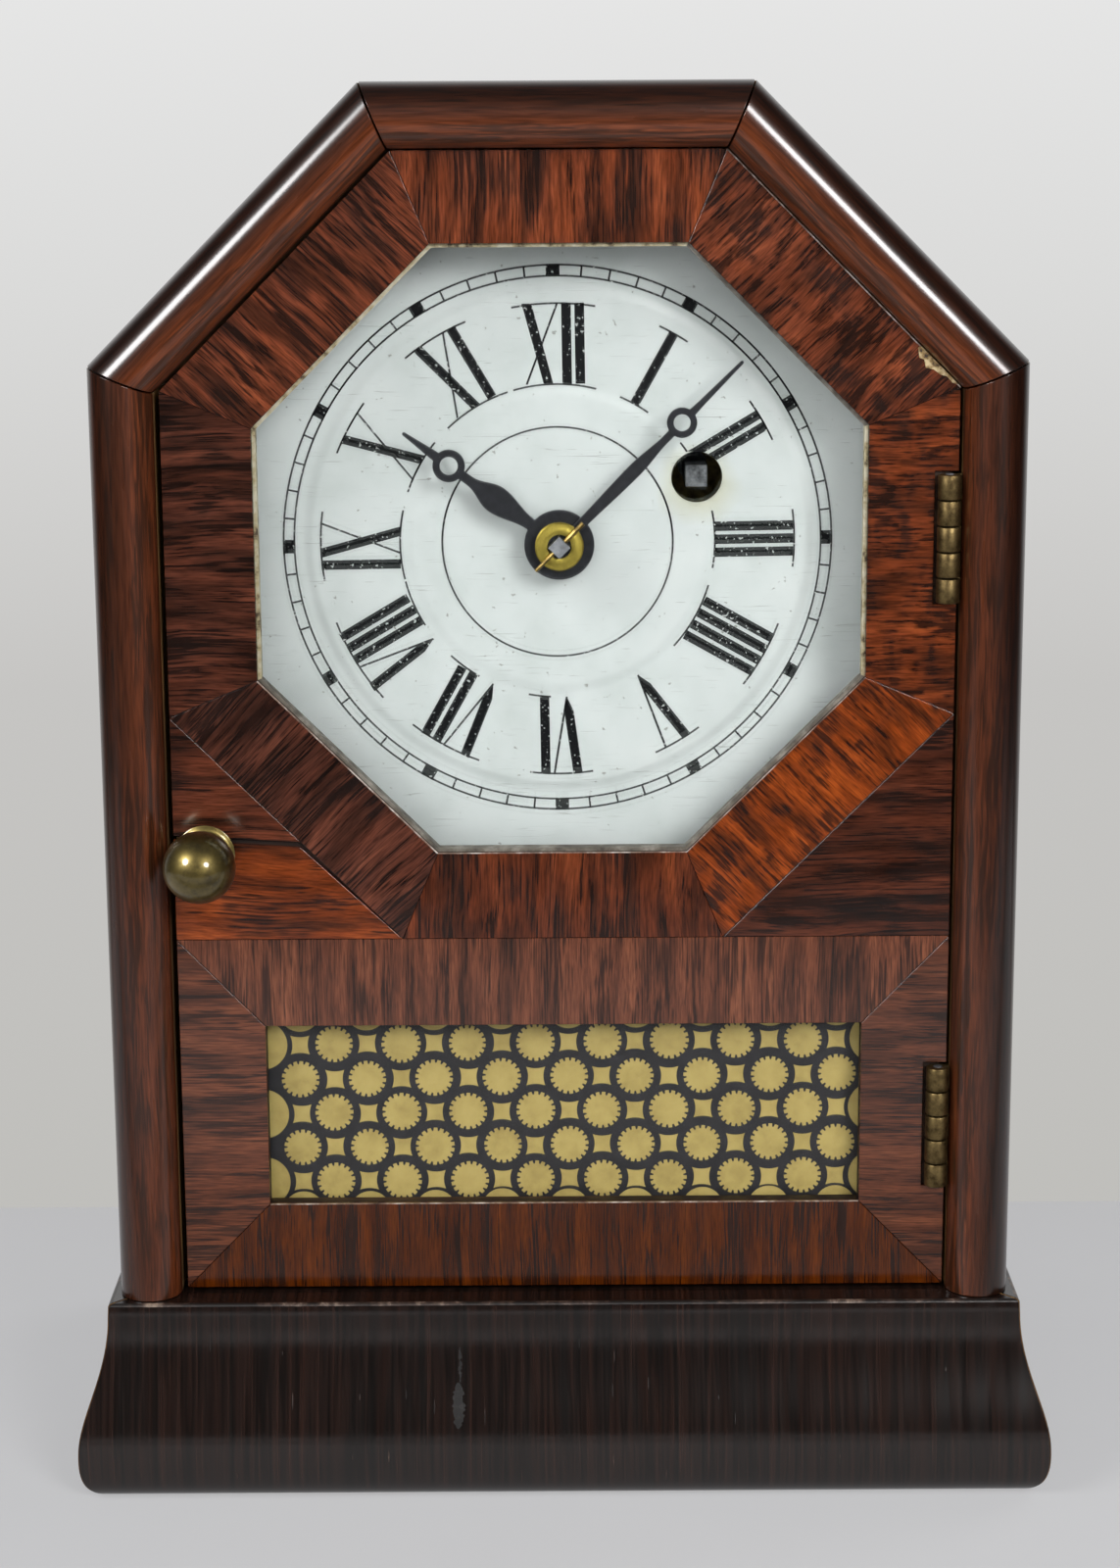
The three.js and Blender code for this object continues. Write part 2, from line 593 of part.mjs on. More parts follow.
// Great wheel with the stud for the click, and the winding arbor with its ratchet
const greatRadii = pitchRadii(WINDING, CENTRE, GREAT_TEETH, CENTRE_LEAVES);
const GREAT = { front: 50, back: 51.8, bore: WINDING_ARBOR.middle + RUNNING };
const CLICK_STUD = { x: 10.4, z: 0, radius: 0.9, front: 46.9 };
const greatOutline = toothed(
  GREAT_TEETH, greatRadii.wheel, ADDENDUM, DEDENDUM, TOOTH_SHARE, heading(WINDING, CENTRE),
);
const greatSheet = flat(greatOutline, GREAT.front, GREAT.back, [circle(GREAT.bore, 16)]);
const clickStud = bar(
  CLICK_STUD.radius, CLICK_STUD.front, GREAT.front + ROOTED, 12, CLICK_STUD.x, CLICK_STUD.z,
);
piece('great_wheel', join(greatSheet, clickStud), BRASS, onDial(WINDING));

const RATCHET = { teeth: 14, tip: 7, root: 5.6, front: 47.2, back: 48.8 };
const ratchetOutline = [];
for (let i = 0; i < RATCHET.teeth; i += 1) {
  const angle = (2 * Math.PI * i) / RATCHET.teeth;
  ratchetOutline.push(clockPoint(RATCHET.root, angle + 0.02));
  ratchetOutline.push(clockPoint(RATCHET.tip, angle + (2 * Math.PI) / RATCHET.teeth - 0.02));
}
const backShoulder = BACK_PLATE - 0.2;
const SQUARE_FRONT = 16.5;
const SQUARE_BACK = 31;
const half = WINDING_SQUARE / 2;
const windingParts = [
  box([-half, SQUARE_FRONT, -half], [half, SQUARE_BACK, half]),
  bar(WINDING_ARBOR.middle, SQUARE_BACK - ROOTED, backShoulder),
  bar(WINDING_ARBOR.back, backShoulder - ROOTED, ARBOR_BACK + ROOTED / 2),
  flat(ratchetOutline, RATCHET.front, RATCHET.back),
];
piece('winding_arbor', join(...windingParts), STEEL, onDial(WINDING));

// The click's nose rides just outside the ratchet's tips
const clickOutline = [
  [-1.6, -1.6], [1.6, -1.6], [1.7, 1.2], [-4.4, 7.4], [-6.9, 6.4], [-5, 5.3], [-1.7, 1.4],
];
const clickHole = circle(CLICK_STUD.radius + RUNNING, 12);
const clickAxis = { x: WINDING.x + CLICK_STUD.x, z: WINDING.z + CLICK_STUD.z };
piece('click', flat(clickOutline, RATCHET.front, RATCHET.back, [clickHole]), STEEL, onDial(clickAxis));

// Mainspring: a flat strip wound round the winding arbor, its outer end by an upper pillar
const SPRING = { inner: 3.4, outer: 19, turns: 5, strip: 0.6, front: 53.5, back: 66, steps: 14 };
const anchor = { x: PILLARS[3].x - WINDING.x, z: PILLARS[3].z - WINDING.z };
const anchorHeading = Math.atan2(anchor.x, anchor.z);
const tailLength = Math.hypot(anchor.x, anchor.z);
const springEnd = anchorHeading - Math.acos(SPRING.outer / tailLength);
const springInside = [];
const springOutside = [];
for (let i = 0; i <= SPRING.turns * SPRING.steps; i += 1) {
  const t = i / (SPRING.turns * SPRING.steps);
  const angle = springEnd - 2 * Math.PI * SPRING.turns * (1 - t);
  const radius = SPRING.inner + (SPRING.outer - SPRING.inner) * t;
  springInside.push(clockPoint(radius, angle));
  springOutside.push(clockPoint(radius + SPRING.strip, angle));
}
const tailStop = 0.86; // share of the way to the pillar
const [endX, endZ] = clockPoint(SPRING.outer, springEnd);
const [outX, outZ] = clockPoint(SPRING.outer + SPRING.strip, springEnd);
const run = [(anchor.x - endX) * tailStop, (anchor.z - endZ) * tailStop];
springInside.push([endX + run[0], endZ + run[1]]);
springOutside.push([outX + run[0], outZ + run[1]]);
const springOutline = [...springOutside, ...springInside.reverse()];
piece('mainspring', flat(springOutline, SPRING.front, SPRING.back), STEEL, onDial(WINDING));

// Centre wheel on a sleeve: its lantern pinion takes the great wheel's teeth
const centreRadii = pitchRadii(CENTRE, THIRD, CENTRE_TEETH, THIRD_LEAVES);
const CENTRE_WHEEL = { front: 43, back: 44.4, hub: 3.2, hubFront: 42, bore: CENTRE_ARBOR.middle + RUNNING };
const CENTRE_PINION = { trundle: 0.42, shroud: 3.9, front: 47.6, back: 54.2 };
const centreOutline = toothed(
  CENTRE_TEETH, centreRadii.wheel, ADDENDUM, DEDENDUM, TOOTH_SHARE, heading(CENTRE, THIRD),
);
const centreParts = [
  flat(centreOutline, CENTRE_WHEEL.front, CENTRE_WHEEL.back, windows(4, 5, 16, 3)),
  bar(CENTRE_WHEEL.hub, CENTRE_WHEEL.hubFront, CENTRE_PINION.front + ROOTED),
  ...lantern(
    CENTRE_LEAVES, greatRadii.pinion, CENTRE_PINION, trundleStart(CENTRE, WINDING, CENTRE_LEAVES),
  ),
];
const centreBore = bar(CENTRE_WHEEL.bore, CENTRE_WHEEL.hubFront - 1, CENTRE_PINION.back + 1);
piece('centre_wheel', cut(join(...centreParts), centreBore), BRASS, dialAxis);

// Third wheel and its arbor
const thirdRadii = pitchRadii(THIRD, ESCAPE, THIRD_TEETH, ESCAPE_LEAVES);
const THIRD_WHEEL = { front: 38, back: 39.2, arbor: 0.9 };
const THIRD_PINION = { trundle: 0.3, shroud: 2.4, front: 41, back: 46.6 };
const thirdOutline = toothed(
  THIRD_TEETH, thirdRadii.wheel, ADDENDUM * 0.85, DEDENDUM, TOOTH_SHARE, heading(THIRD, ESCAPE),
);
const frontShoulder = FRONT_PLATE + PLATE + 0.2;
const thirdParts = [
  flat(thirdOutline, THIRD_WHEEL.front, THIRD_WHEEL.back, windows(4, 4, 13.6, 2.4)),
  bar(THIRD_WHEEL.arbor, frontShoulder, backShoulder, 12),
  bar(PIVOT, FRONT_PLATE + GLUE, ARBOR_BACK, 12),
  ...lantern(
    THIRD_LEAVES, centreRadii.pinion, THIRD_PINION, trundleStart(THIRD, CENTRE, THIRD_LEAVES),
  ),
];
piece('third_wheel', join(...thirdParts), BRASS, onDial(THIRD));

// Escape wheel in front of the front plate, its pinion behind it, and the bridge for its front pivot
const ESCAPE_WHEEL = { front: 30, back: 31, root: ESCAPE_RADIUS - 1.7, lean: 0.05, arbor: 0.8 };
const ESCAPE_PINION = { trundle: 0.26, shroud: 2.1, front: 36.2, back: 41 };
const escapeOutline = [];
for (let i = 0; i < ESCAPE_TEETH; i += 1) {
  const angle = (2 * Math.PI * i) / ESCAPE_TEETH;
  escapeOutline.push(clockPoint(ESCAPE_WHEEL.root, angle - ESCAPE_WHEEL.lean));
  escapeOutline.push(clockPoint(ESCAPE_RADIUS, angle + ESCAPE_WHEEL.lean));
  escapeOutline.push(clockPoint(ESCAPE_WHEEL.root, angle + ESCAPE_WHEEL.lean));
}
const BRIDGE = { front: 26.8, back: 28, reach: 14.5, leg: 3, half: 1.8 };
const escapeParts = [
  flat(escapeOutline, ESCAPE_WHEEL.front, ESCAPE_WHEEL.back, windows(4, 2.6, 7, 1.6)),
  bar(ESCAPE_WHEEL.arbor, BRIDGE.back + 0.2, backShoulder, 12),
  bar(PIVOT, BRIDGE.front, ARBOR_BACK, 12),
  ...lantern(
    ESCAPE_LEAVES, thirdRadii.pinion, ESCAPE_PINION, trundleStart(ESCAPE, THIRD, ESCAPE_LEAVES),
  ),
];
piece('escape_wheel', join(...escapeParts), BRASS, onDial(ESCAPE));

const bridgeTop = [[-BRIDGE.reach, -BRIDGE.half], [BRIDGE.reach, -BRIDGE.half],
  [BRIDGE.reach, BRIDGE.half], [-BRIDGE.reach, BRIDGE.half]];
const bridgeLegs = [-1, 1].map((side) => {
  const inner = side * (BRIDGE.reach - BRIDGE.leg);
  const outer = side * BRIDGE.reach;
  const low = [Math.min(inner, outer), BRIDGE.front, -BRIDGE.half];
  const high = [Math.max(inner, outer), FRONT_PLATE - GLUE, BRIDGE.half];
  return box(low, high);
});
const bridgeSheet = flat(bridgeTop, BRIDGE.front, BRIDGE.back, [circle(PIVOT_HOLE, 12)]);
piece('escape_bridge', join(bridgeSheet, ...bridgeLegs), BRASS, onDial(ESCAPE));

// Motion work: centre arbor with its pinion, minute wheel with its pinion, hour wheel with its pipe
const cannonRadii = pitchRadii(MINUTE_STUD, CENTRE, MINUTE_TEETH, CANNON_LEAVES);
const hourRadii = pitchRadii(CENTRE, MINUTE_STUD, HOUR_TEETH, MINUTE_LEAVES);
const MOTION_SHARE = 0.55;
const MOTION_ADDENDUM = 0.35;
const MOTION_DEDENDUM = 0.6;
const CANNON = { front: 27.6, back: 29.6 };
const cannonOutline = toothed(
  CANNON_LEAVES, cannonRadii.pinion, MOTION_ADDENDUM, MOTION_DEDENDUM, MOTION_SHARE,
  heading(CENTRE, MINUTE_STUD) + Math.PI / CANNON_LEAVES,
);
const ARBOR_TIP = 5.8;
const TAPER_PIN = { y: 6.65, half: 5.6, thick: 0.45, thin: 0.3, hole: 0.52, turn: Math.PI / 4 };
const SQUARE_END = 9;
const squareHalf = CENTRE_SQUARE / 2;
const arborSquare = box([-squareHalf, ARBOR_TIP, -squareHalf], [squareHalf, SQUARE_END, squareHalf]);
arborSquare.rotateY(TAPER_PIN.turn);
const pinRoom = new THREE.CylinderGeometry(TAPER_PIN.hole, TAPER_PIN.hole, 3 * CENTRE_SQUARE, 12);
pinRoom.rotateX(Math.PI / 2);
pinRoom.rotateY(TAPER_PIN.turn);
pinRoom.translate(0, TAPER_PIN.y, 0);
const arborParts = [
  arborSquare,
  bar(CENTRE_ARBOR.front, SQUARE_END - 0.2, CANNON.front + ROOTED),
  flat(cannonOutline, CANNON.front, CANNON.back),
  bar(CENTRE_ARBOR.middle, CANNON.back - ROOTED, backShoulder),
  bar(CENTRE_ARBOR.back, backShoulder - ROOTED, ARBOR_BACK, 12),
];
piece('centre_arbor', cut(join(...arborParts), pinRoom), STEEL, dialAxis);

const MINUTE_WHEEL = { pinionFront: 23.4, front: 28, back: 29.2 };
const minuteOutline = toothed(
  MINUTE_TEETH, cannonRadii.wheel, MOTION_ADDENDUM, MOTION_DEDENDUM, MOTION_SHARE,
  heading(MINUTE_STUD, CENTRE),
);
const minutePinion = toothed(
  MINUTE_LEAVES, hourRadii.pinion, MOTION_ADDENDUM, MOTION_DEDENDUM, MOTION_SHARE,
  heading(MINUTE_STUD, CENTRE) + Math.PI / MINUTE_LEAVES,
);
const studHole = [circle(MINUTE_STUD_RADIUS + RUNNING, 12)];
const minuteParts = [
  flat(minuteOutline, MINUTE_WHEEL.front, MINUTE_WHEEL.back, studHole),
  flat(minutePinion, MINUTE_WHEEL.pinionFront, MINUTE_WHEEL.front + ROOTED, studHole),
];
piece('minute_wheel', join(...minuteParts), BRASS, onDial(MINUTE_STUD));

const HOUR_PIPE = { bore: CENTRE_ARBOR.front + RUNNING, outer: 2.9, front: 9.1 };
const HOUR_WHEEL = { front: 24, back: 25.2 };
const hourOutline = toothed(
  HOUR_TEETH, hourRadii.wheel, MOTION_ADDENDUM, MOTION_DEDENDUM, MOTION_SHARE,
  heading(CENTRE, MINUTE_STUD),
);
const pipeHole = [circle(HOUR_PIPE.bore, 20)];
const hourParts = [
  flat(hourOutline, HOUR_WHEEL.front, HOUR_WHEEL.back, pipeHole),
  flat(circle(HOUR_PIPE.outer, 20), HOUR_PIPE.front, HOUR_WHEEL.back, pipeHole),
];
piece('hour_wheel', join(...hourParts), BRASS, dialAxis);

// Hands: a tapering blade with a pierced ring near the tip, drawn pointing at twelve
function handOutline({ length, hub, root, neck, ring, ringAt, swell, swellAt }) {
  const right = [
    [root, hub * 0.8],
    [swell, swellAt],
    [neck, swellAt + 5],
    [neck, ringAt - ring],
    [ring * 0.75, ringAt - ring * 0.7],
    [ring, ringAt],
    [ring * 0.75, ringAt + ring * 0.7],
    [neck, ringAt + ring + 0.5],
    [neck * 0.45, length],
  ];
  const left = right.map(([x, z]) => [-x, z]).reverse();
  return [...right, ...left];
}

function hand(sizes, hole) {
  const { front, hub, ring, ringAt } = sizes;
  const back = front + HAND_SHEET;
  const blade = flat(handOutline(sizes), front, back, [circle(ring * 0.55, 14, 0, ringAt)]);
  const disc = flat(circle(hub, 24), front, back, [hole]);
  const inside = flat(hole, front - 1, back + 1);
  return cut(join(blade, disc), inside);
}

const hourShape = { root: 1, neck: 0.8, ring: 2.7, ringAt: 22.6, swell: 1.7, swellAt: 10.5 };
const hourBlade = hand({ ...HOUR_HAND, ...hourShape }, circle(HOUR_HAND.bore, 20));
const hourHand = piece('hour_hand', hourBlade, BLUED_STEEL, dialAxis);
hourHand.rotation.y = THREE.MathUtils.degToRad(HOUR_HAND.clockwise);

const minuteShape = { root: 0.8, neck: 0.65, ring: 2.5, ringAt: 28.8, swell: 1, swellAt: 14 };
const { square } = MINUTE_HAND;
const squareHole = [[square, square], [-square, square], [-square, -square], [square, -square]];
const minuteBlade = hand({ ...MINUTE_HAND, ...minuteShape }, squareHole);
const minuteHand = piece('minute_hand', minuteBlade, BLUED_STEEL, dialAxis);
minuteHand.rotation.y = TAPER_PIN.turn;

const washerHole = circle(square * Math.SQRT2, 4);
const washer = flat(circle(WASHER.radius, 24), WASHER.front, WASHER.back, [washerHole]);
piece('hand_washer', washer, BRASS, dialAxis);

const taperPin = new THREE.CylinderGeometry(TAPER_PIN.thick, TAPER_PIN.thin, 2 * TAPER_PIN.half, 8);
taperPin.rotateX(Math.PI / 2);
taperPin.rotateY(TAPER_PIN.turn);
taperPin.translate(0, TAPER_PIN.y, 0);
piece('hand_pin', taperPin, BRASS, dialAxis);

// Verge: two pallets over the escape wheel, and a crutch that reaches down to fork the pendulum rod
const vergeHub = 1.7;
const PALLET = { x: 7, z: -4.3 };
const palletOutline = [
  [-2.2, 1.2], [2.2, 1.2], [PALLET.x + 0.7, PALLET.z + 0.9], [PALLET.x + 0.4, PALLET.z],
  [PALLET.x - 0.5, PALLET.z + 0.5], [1.6, -1.3], [-1.6, -1.3], [-PALLET.x + 0.5, PALLET.z + 0.5],
  [-PALLET.x - 0.4, PALLET.z], [-PALLET.x - 0.7, PALLET.z + 0.9],
];
const PALLETS = { front: 29.8, back: 31.2, hubBack: 31.6 };
const CRUTCH = { front: 23.2, back: 24.4, half: 0.6, drop: 30 };
const FORK = { front: 19.6, prong: 0.7, gap: 1.1, top: 1.4 - CRUTCH.drop };
const crutchLeg = box([-CRUTCH.half, CRUTCH.front, -CRUTCH.drop], [CRUTCH.half, CRUTCH.back, 0]);
const forkWidth = FORK.gap + FORK.prong;
const forkBar = box([-forkWidth, CRUTCH.front, -CRUTCH.drop], [forkWidth, CRUTCH.back, FORK.top]);
const prongs = [-1, 1].map((side) => {
  const near = side * FORK.gap;
  const far = side * forkWidth;
  const low = [Math.min(near, far), FORK.front, -CRUTCH.drop];
  const high = [Math.max(near, far), CRUTCH.back, FORK.top];
  return box(low, high);
});
const vergeParts = [
  bar(vergeHub, CRUTCH.front - 0.2, PALLETS.hubBack, 16),
  flat(palletOutline, PALLETS.front, PALLETS.back),
  crutchLeg,
  forkBar,
  ...prongs,
];
const vergeBore = bar(VERGE_PIN + RUNNING, CRUTCH.front - 1, PALLETS.hubBack + 1, 12);
piece('verge', cut(join(...vergeParts), vergeBore), STEEL, onDial(VERGE));

// Pendulum: a cock on the front plate, the suspension spring and rod, the bob and its rating nut
const COCK = { half: 2, front: 18.6 };
const cock = box([-COCK.half, COCK.front, -COCK.half], [COCK.half, FRONT_PLATE - GLUE, COCK.half]);
piece('suspension_cock', cock, BRASS, onDial(SUSPENSION));

const STRIP = { half: 0.15, width: 1.6, top: -COCK.half - 0.3, bottom: -14 };
const CLASP = { half: 0.8, width: 1.8, height: 3 };
const NUT = { top: -BOB_DROP - BOB_RADIUS - 0.4, height: 4, radius: 3.2 };
const rodBottom = NUT.top - NUT.height - 3;
const claspBottom = STRIP.bottom - CLASP.height;
const rodParts = [
  box([-STRIP.half, ROD_Y - STRIP.width, STRIP.bottom - 2], [STRIP.half, ROD_Y + STRIP.width, STRIP.top]),
  box([-CLASP.half, ROD_Y - CLASP.width, claspBottom], [CLASP.half, ROD_Y + CLASP.width, STRIP.bottom]),
  upright(ROD_RADIUS, rodBottom, STRIP.bottom - 1, 12, 0, ROD_Y),
];
piece('pendulum_rod', join(...rodParts), STEEL, onDial(SUSPENSION));

const bobProfile = [];
const BOB_STEPS = 6;
for (let i = 0; i <= BOB_STEPS; i += 1) {
  const angle = (Math.PI * i) / BOB_STEPS;
  bobProfile.push([BOB_RADIUS * Math.sin(angle), -BOB_HALF_THICK * Math.cos(angle)]);
}
bobProfile[0][0] = 0;
bobProfile[BOB_STEPS][0] = 0;
const bob = turned(bobProfile, 28).translate(0, ROD_Y, -BOB_DROP);
const rodHole = ROD_RADIUS + 0.08;
const bobBore = upright(rodHole, -BOB_DROP - BOB_RADIUS - 2, -BOB_DROP + BOB_RADIUS + 2, 12, 0, ROD_Y);
piece('pendulum_bob', cut(bob, bobBore), BRASS, onDial(SUSPENSION));

const nutBody = upright(NUT.radius, NUT.top - NUT.height, NUT.top, 20, 0, ROD_Y);
const nutBore = upright(rodHole, NUT.top - NUT.height - 1, NUT.top + 1, 12, 0, ROD_Y);
piece('rating_nut', cut(nutBody, nutBore), BRASS, onDial(SUSPENSION));

// The origin lies under the middle of the whole clock, from the knob's front to the back board
const object = new THREE.Group();
clock.position.y = -(KNOB_FRONT + CASE_BACK) / 2;
object.add(clock);

export default object;
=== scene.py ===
import math
import random

import bmesh
import bpy
from mathutils import Matrix, Vector
from mathutils.geometry import delaunay_2d_cdt


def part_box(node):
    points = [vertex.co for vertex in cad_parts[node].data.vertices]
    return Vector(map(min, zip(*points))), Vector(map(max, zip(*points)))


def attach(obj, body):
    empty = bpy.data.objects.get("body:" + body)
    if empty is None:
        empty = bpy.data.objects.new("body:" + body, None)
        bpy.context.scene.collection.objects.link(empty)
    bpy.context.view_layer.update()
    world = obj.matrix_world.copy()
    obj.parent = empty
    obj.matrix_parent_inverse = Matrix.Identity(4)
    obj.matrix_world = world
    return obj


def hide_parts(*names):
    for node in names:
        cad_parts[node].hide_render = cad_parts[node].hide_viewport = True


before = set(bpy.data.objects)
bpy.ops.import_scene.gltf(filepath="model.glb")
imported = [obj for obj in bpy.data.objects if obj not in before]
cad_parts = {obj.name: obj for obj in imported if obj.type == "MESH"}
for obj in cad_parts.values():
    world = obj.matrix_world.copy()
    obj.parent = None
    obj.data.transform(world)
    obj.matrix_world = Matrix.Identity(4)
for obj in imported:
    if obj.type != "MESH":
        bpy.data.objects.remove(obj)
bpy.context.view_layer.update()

# Plinth
# Three lengths of softwood worked to an ogee and covered with a thin dark veneer whose fibres stand
# upright. They are mitred at the front corners and glued round the floor board, open towards the back.
MM = 0.001
DOOR_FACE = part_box("door_veneer")[0].y  # depths in this file run back from the face of the door
PLINTH_WALL = 15.5
PLINTH_SWELL = 5.25
PLINTH_FOOT = 1.45
PLINTH_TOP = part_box("base_front_moulding")[1].z / MM
PLINTH_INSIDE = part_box("base_front_moulding")[1].x / MM - PLINTH_SWELL - PLINTH_WALL
PLINTH_BACK = (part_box("base_right_moulding")[1].y - DOOR_FACE) / MM
PLINTH_FRONT = (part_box("base_front_moulding")[0].y - DOOR_FACE) / MM + PLINTH_SWELL + PLINTH_WALL
UP = Vector((0, 0, 1))
MITRE_GAP = 0.15


def at(x, depth, z):
    """A place in the clock: millimetres across, back from the door's face, and up."""
    return Vector((x * MM, DOOR_FACE + depth * MM, z * MM))


def linear(hex_colour):
    channels = [int(hex_colour[i : i + 2], 16) / 255 for i in (1, 3, 5)]
    return tuple(c / 12.92 if c <= 0.04045 else ((c + 0.055) / 1.055) ** 2.4 for c in channels) + (1.0,)


def feed(tree, node, inputs):
    """Sets a node's inputs, by name or as a list in their order, each to a value or by a link."""
    for name, value in inputs.items() if isinstance(inputs, dict) else enumerate(inputs):
        if isinstance(value, bpy.types.NodeSocket):
            tree.links.new(value, node.inputs[name])
        else:
            node.inputs[name].default_value = value


def add_node(tree, kind, inputs=(), output=0, stops=(), **settings):
    """Adds a shader node and gives one of its outputs. A colour ramp's stops are (place, hex colour)."""
    node = tree.nodes.new("ShaderNode" + kind)
    for name, value in settings.items():
        setattr(node, name, value)
    feed(tree, node, inputs)
    for i, (place, colour) in enumerate(stops):
        elements = node.color_ramp.elements
        element = elements[i] if i < 2 else elements.new(place)
        element.position = place
        element.color = linear(colour)
    return node.outputs[output]


def new_material(name):
    material = bpy.data.materials.new(name)
    material.use_nodes = True
    tree = material.node_tree
    return material, tree, tree.nodes["Principled BSDF"]


FIBRE_WANDER = 26


def polished_wood(
    name, stops, figure, dashes, gathering, bars, pores, sway, polish, shine, soot="#150b08", bent=False,
    lacquer=0.0,
):
    """Varnished hardwood whose fibres run along the piece's own X. Sizes are (along, across) in millimetres.
    Figure is the broad banding, dashes the thin black lines, gathering the patches in which they crowd
    together, bars the wide black stripes of a barred leaf, and pores the fine ticks. Sway is how far the
    fibres wander sideways. A bent veneer keeps its figure where its curve goes in and out, and lacquer is
    how much of a clear glossy coat lies over the polish."""
    material, tree, shader = new_material(name)
    straight = add_node(tree, "TexCoord", output="Object")
    waves = {"Vector": straight, "Scale": 1 / (FIBRE_WANDER * MM), "Detail": 1.0}
    wander = add_node(tree, "TexNoise", waves, "Color")
    reach = (0, 2 * sway * MM, 2 * sway * MM)
    place = add_node(tree, "VectorMath", [wander, reach, straight], operation="MULTIPLY_ADD")
    layer = {}
    sizes = {"figure": figure, "dashes": dashes, "gathering": gathering, "bars": bars, "pores": pores}
    for (part, size), detail in zip(sizes.items(), (3.0, 2.0, 2.0, 4.0, 2.0)):
        across = 1 / (size[1] * MM)
        scale = (1 / (size[0] * MM), across, 0.0 if bent else across)
        stretched = add_node(tree, "Mapping", {"Vector": place, "Scale": scale})
        layer[part] = add_node(
            tree, "TexNoise",
            {"Vector": stretched, "Scale": 1.0, "Detail": detail, "Roughness": 0.58, "Distortion": 0.25},
        )
    leaf = add_node(tree, "Attribute", attribute_name="leaf")
    shift = add_node(tree, "SeparateColor", {"Color": leaf}).node.outputs
    lighter = add_node(tree, "Math", [layer["figure"], shift["Red"]], operation="ADD")
    colour = add_node(tree, "ValToRGB", {"Fac": lighter}, stops=stops)
    pore_shade = add_node(tree, "MapRange", [layer["pores"], 0.32, 0.68, 0.6, 1.32])
    grained = add_node(
        tree, "Mix", {0: 1.0, 6: colour, 7: pore_shade}, 2, data_type="RGBA", blend_type="MULTIPLY"
    )
    crowded = add_node(tree, "Math", [layer["gathering"], 0.9, layer["dashes"]], operation="MULTIPLY_ADD")
    thinned = add_node(tree, "Math", [shift["Blue"], 0.6, crowded], operation="MULTIPLY_ADD")
    thin_black = add_node(tree, "MapRange", [thinned, 0.96, 1.12, 0.0, 0.82])
    ragged = add_node(tree, "Math", [layer["dashes"], 0.6, layer["bars"]], operation="MULTIPLY_ADD")
    barred = add_node(tree, "Math", [ragged, shift["Blue"]], operation="ADD")
    wide_black = add_node(tree, "MapRange", [barred, 0.87, 0.98, 0.0, 0.86])
    black = add_node(tree, "Math", [thin_black, wide_black], operation="MAXIMUM")
    figured = add_node(tree, "Mix", {0: black, 6: grained, 7: linear(soot)}, 2, data_type="RGBA")
    shade = {"Color": figured, "Value": leaf.node.outputs["Alpha"], "Saturation": shift["Green"]}
    toned = add_node(tree, "HueSaturation", shade)
    gloss = add_node(tree, "MapRange", [layer["gathering"], 0.3, 0.7, polish - 0.03, polish + 0.06])
    ridges = {"Height": layer["pores"], "Strength": 0.1 * polish, "Distance": 0.05 * MM}
    relief = add_node(tree, "Bump", ridges)
    feed(tree, shader, {
        "Base Color": toned, "Roughness": gloss, "Normal": relief, "IOR": 1.5, "Specular IOR Level": shine,
        "Coat Weight": lacquer, "Coat Roughness": 0.18,
    })
    return material


# Rosewood veneer stained nearly black and French polished: fine upright fibres, a soft uneven shine
# and a little brown where the stain has worn thin. Bent over the plinth's ogee, flat on the case.
stained_look = dict(
    stops=[(0.30, "#140f0c"), (0.44, "#1c1310"), (0.56, "#261813"), (0.74, "#2f1d17")],
    figure=(80, 1.1), dashes=(18, 0.5), gathering=(50, 4), bars=(80, 3), pores=(26, 0.36), sway=0.4,
    polish=0.17, shine=0.5, soot="#0d0907",
)
bent_veneer = polished_wood("dark_veneer_on_plinth", bent=True, **stained_look)
flat_veneer = polished_wood("dark_veneer_on_case", **stained_look)

# Softwood that only shows at the back and inside: sawn pine, browned with age and never varnished.
old_pine = polished_wood(
    "aged_pine",
    [(0.30, "#5c3f24"), (0.46, "#7d5934"), (0.60, "#94703f"), (0.78, "#a9855a")],
    figure=(160, 9), dashes=(60, 1.4), gathering=(90, 9), bars=(90, 3), pores=(14, 0.6), sway=1.5,
    polish=0.72, shine=0.25, soot="#4c331c",
)


def mottled(name, patch, stops, rough, detail=5.0, grain=0.5):
    """A surface whose colour changes in soft patches of the given size. Rough is one value, or one for the
    dark patches and one for the light. Gives the material's tree, shader and pattern too."""
    material, tree, shader = new_material(name)
    place = add_node(tree, "TexCoord", output="Object")
    patches = {"Vector": place, "Scale": 1 / (patch * MM), "Detail": detail, "Roughness": grain}
    cloud = add_node(tree, "TexNoise", patches)
    if isinstance(rough, tuple):
        rough = add_node(tree, "MapRange", [cloud, 0.3, 0.7, *rough])
    colour = add_node(tree, "ValToRGB", {"Fac": cloud}, stops=stops)
    feed(tree, shader, {"Base Color": colour, "Roughness": rough})
    return material, tree, shader, cloud


# The stain has gone from the top edge of the plinth in broken stretches, down to the brown wood.
rubbed_stain = mottled(
    "rubbed_stain", 6.0, [(0.47, "#17100d"), (0.57, "#43322a"), (0.68, "#9a8574")], 0.4, grain=0.7
)[0]
# Polish scraped dull and grey, mottled where some of it is left.
scraped_polish = mottled(
    "scraped_polish", 0.9, [(0.44, "#0c0908"), (0.54, "#14100f"), (0.68, "#2f2b29")], 0.4, grain=0.7
)[0]


def leaf_shade(mesh, shift=0.0, saturation=1.0, value=1.0, bars=0.0):
    """How this piece of wood differs from its fellows: lighter or darker, richer or duller, more barred."""
    layer = mesh.color_attributes.new("leaf", "FLOAT_COLOR", "POINT")
    for corner in layer.data:
        corner.color = (shift, saturation, bars, value)


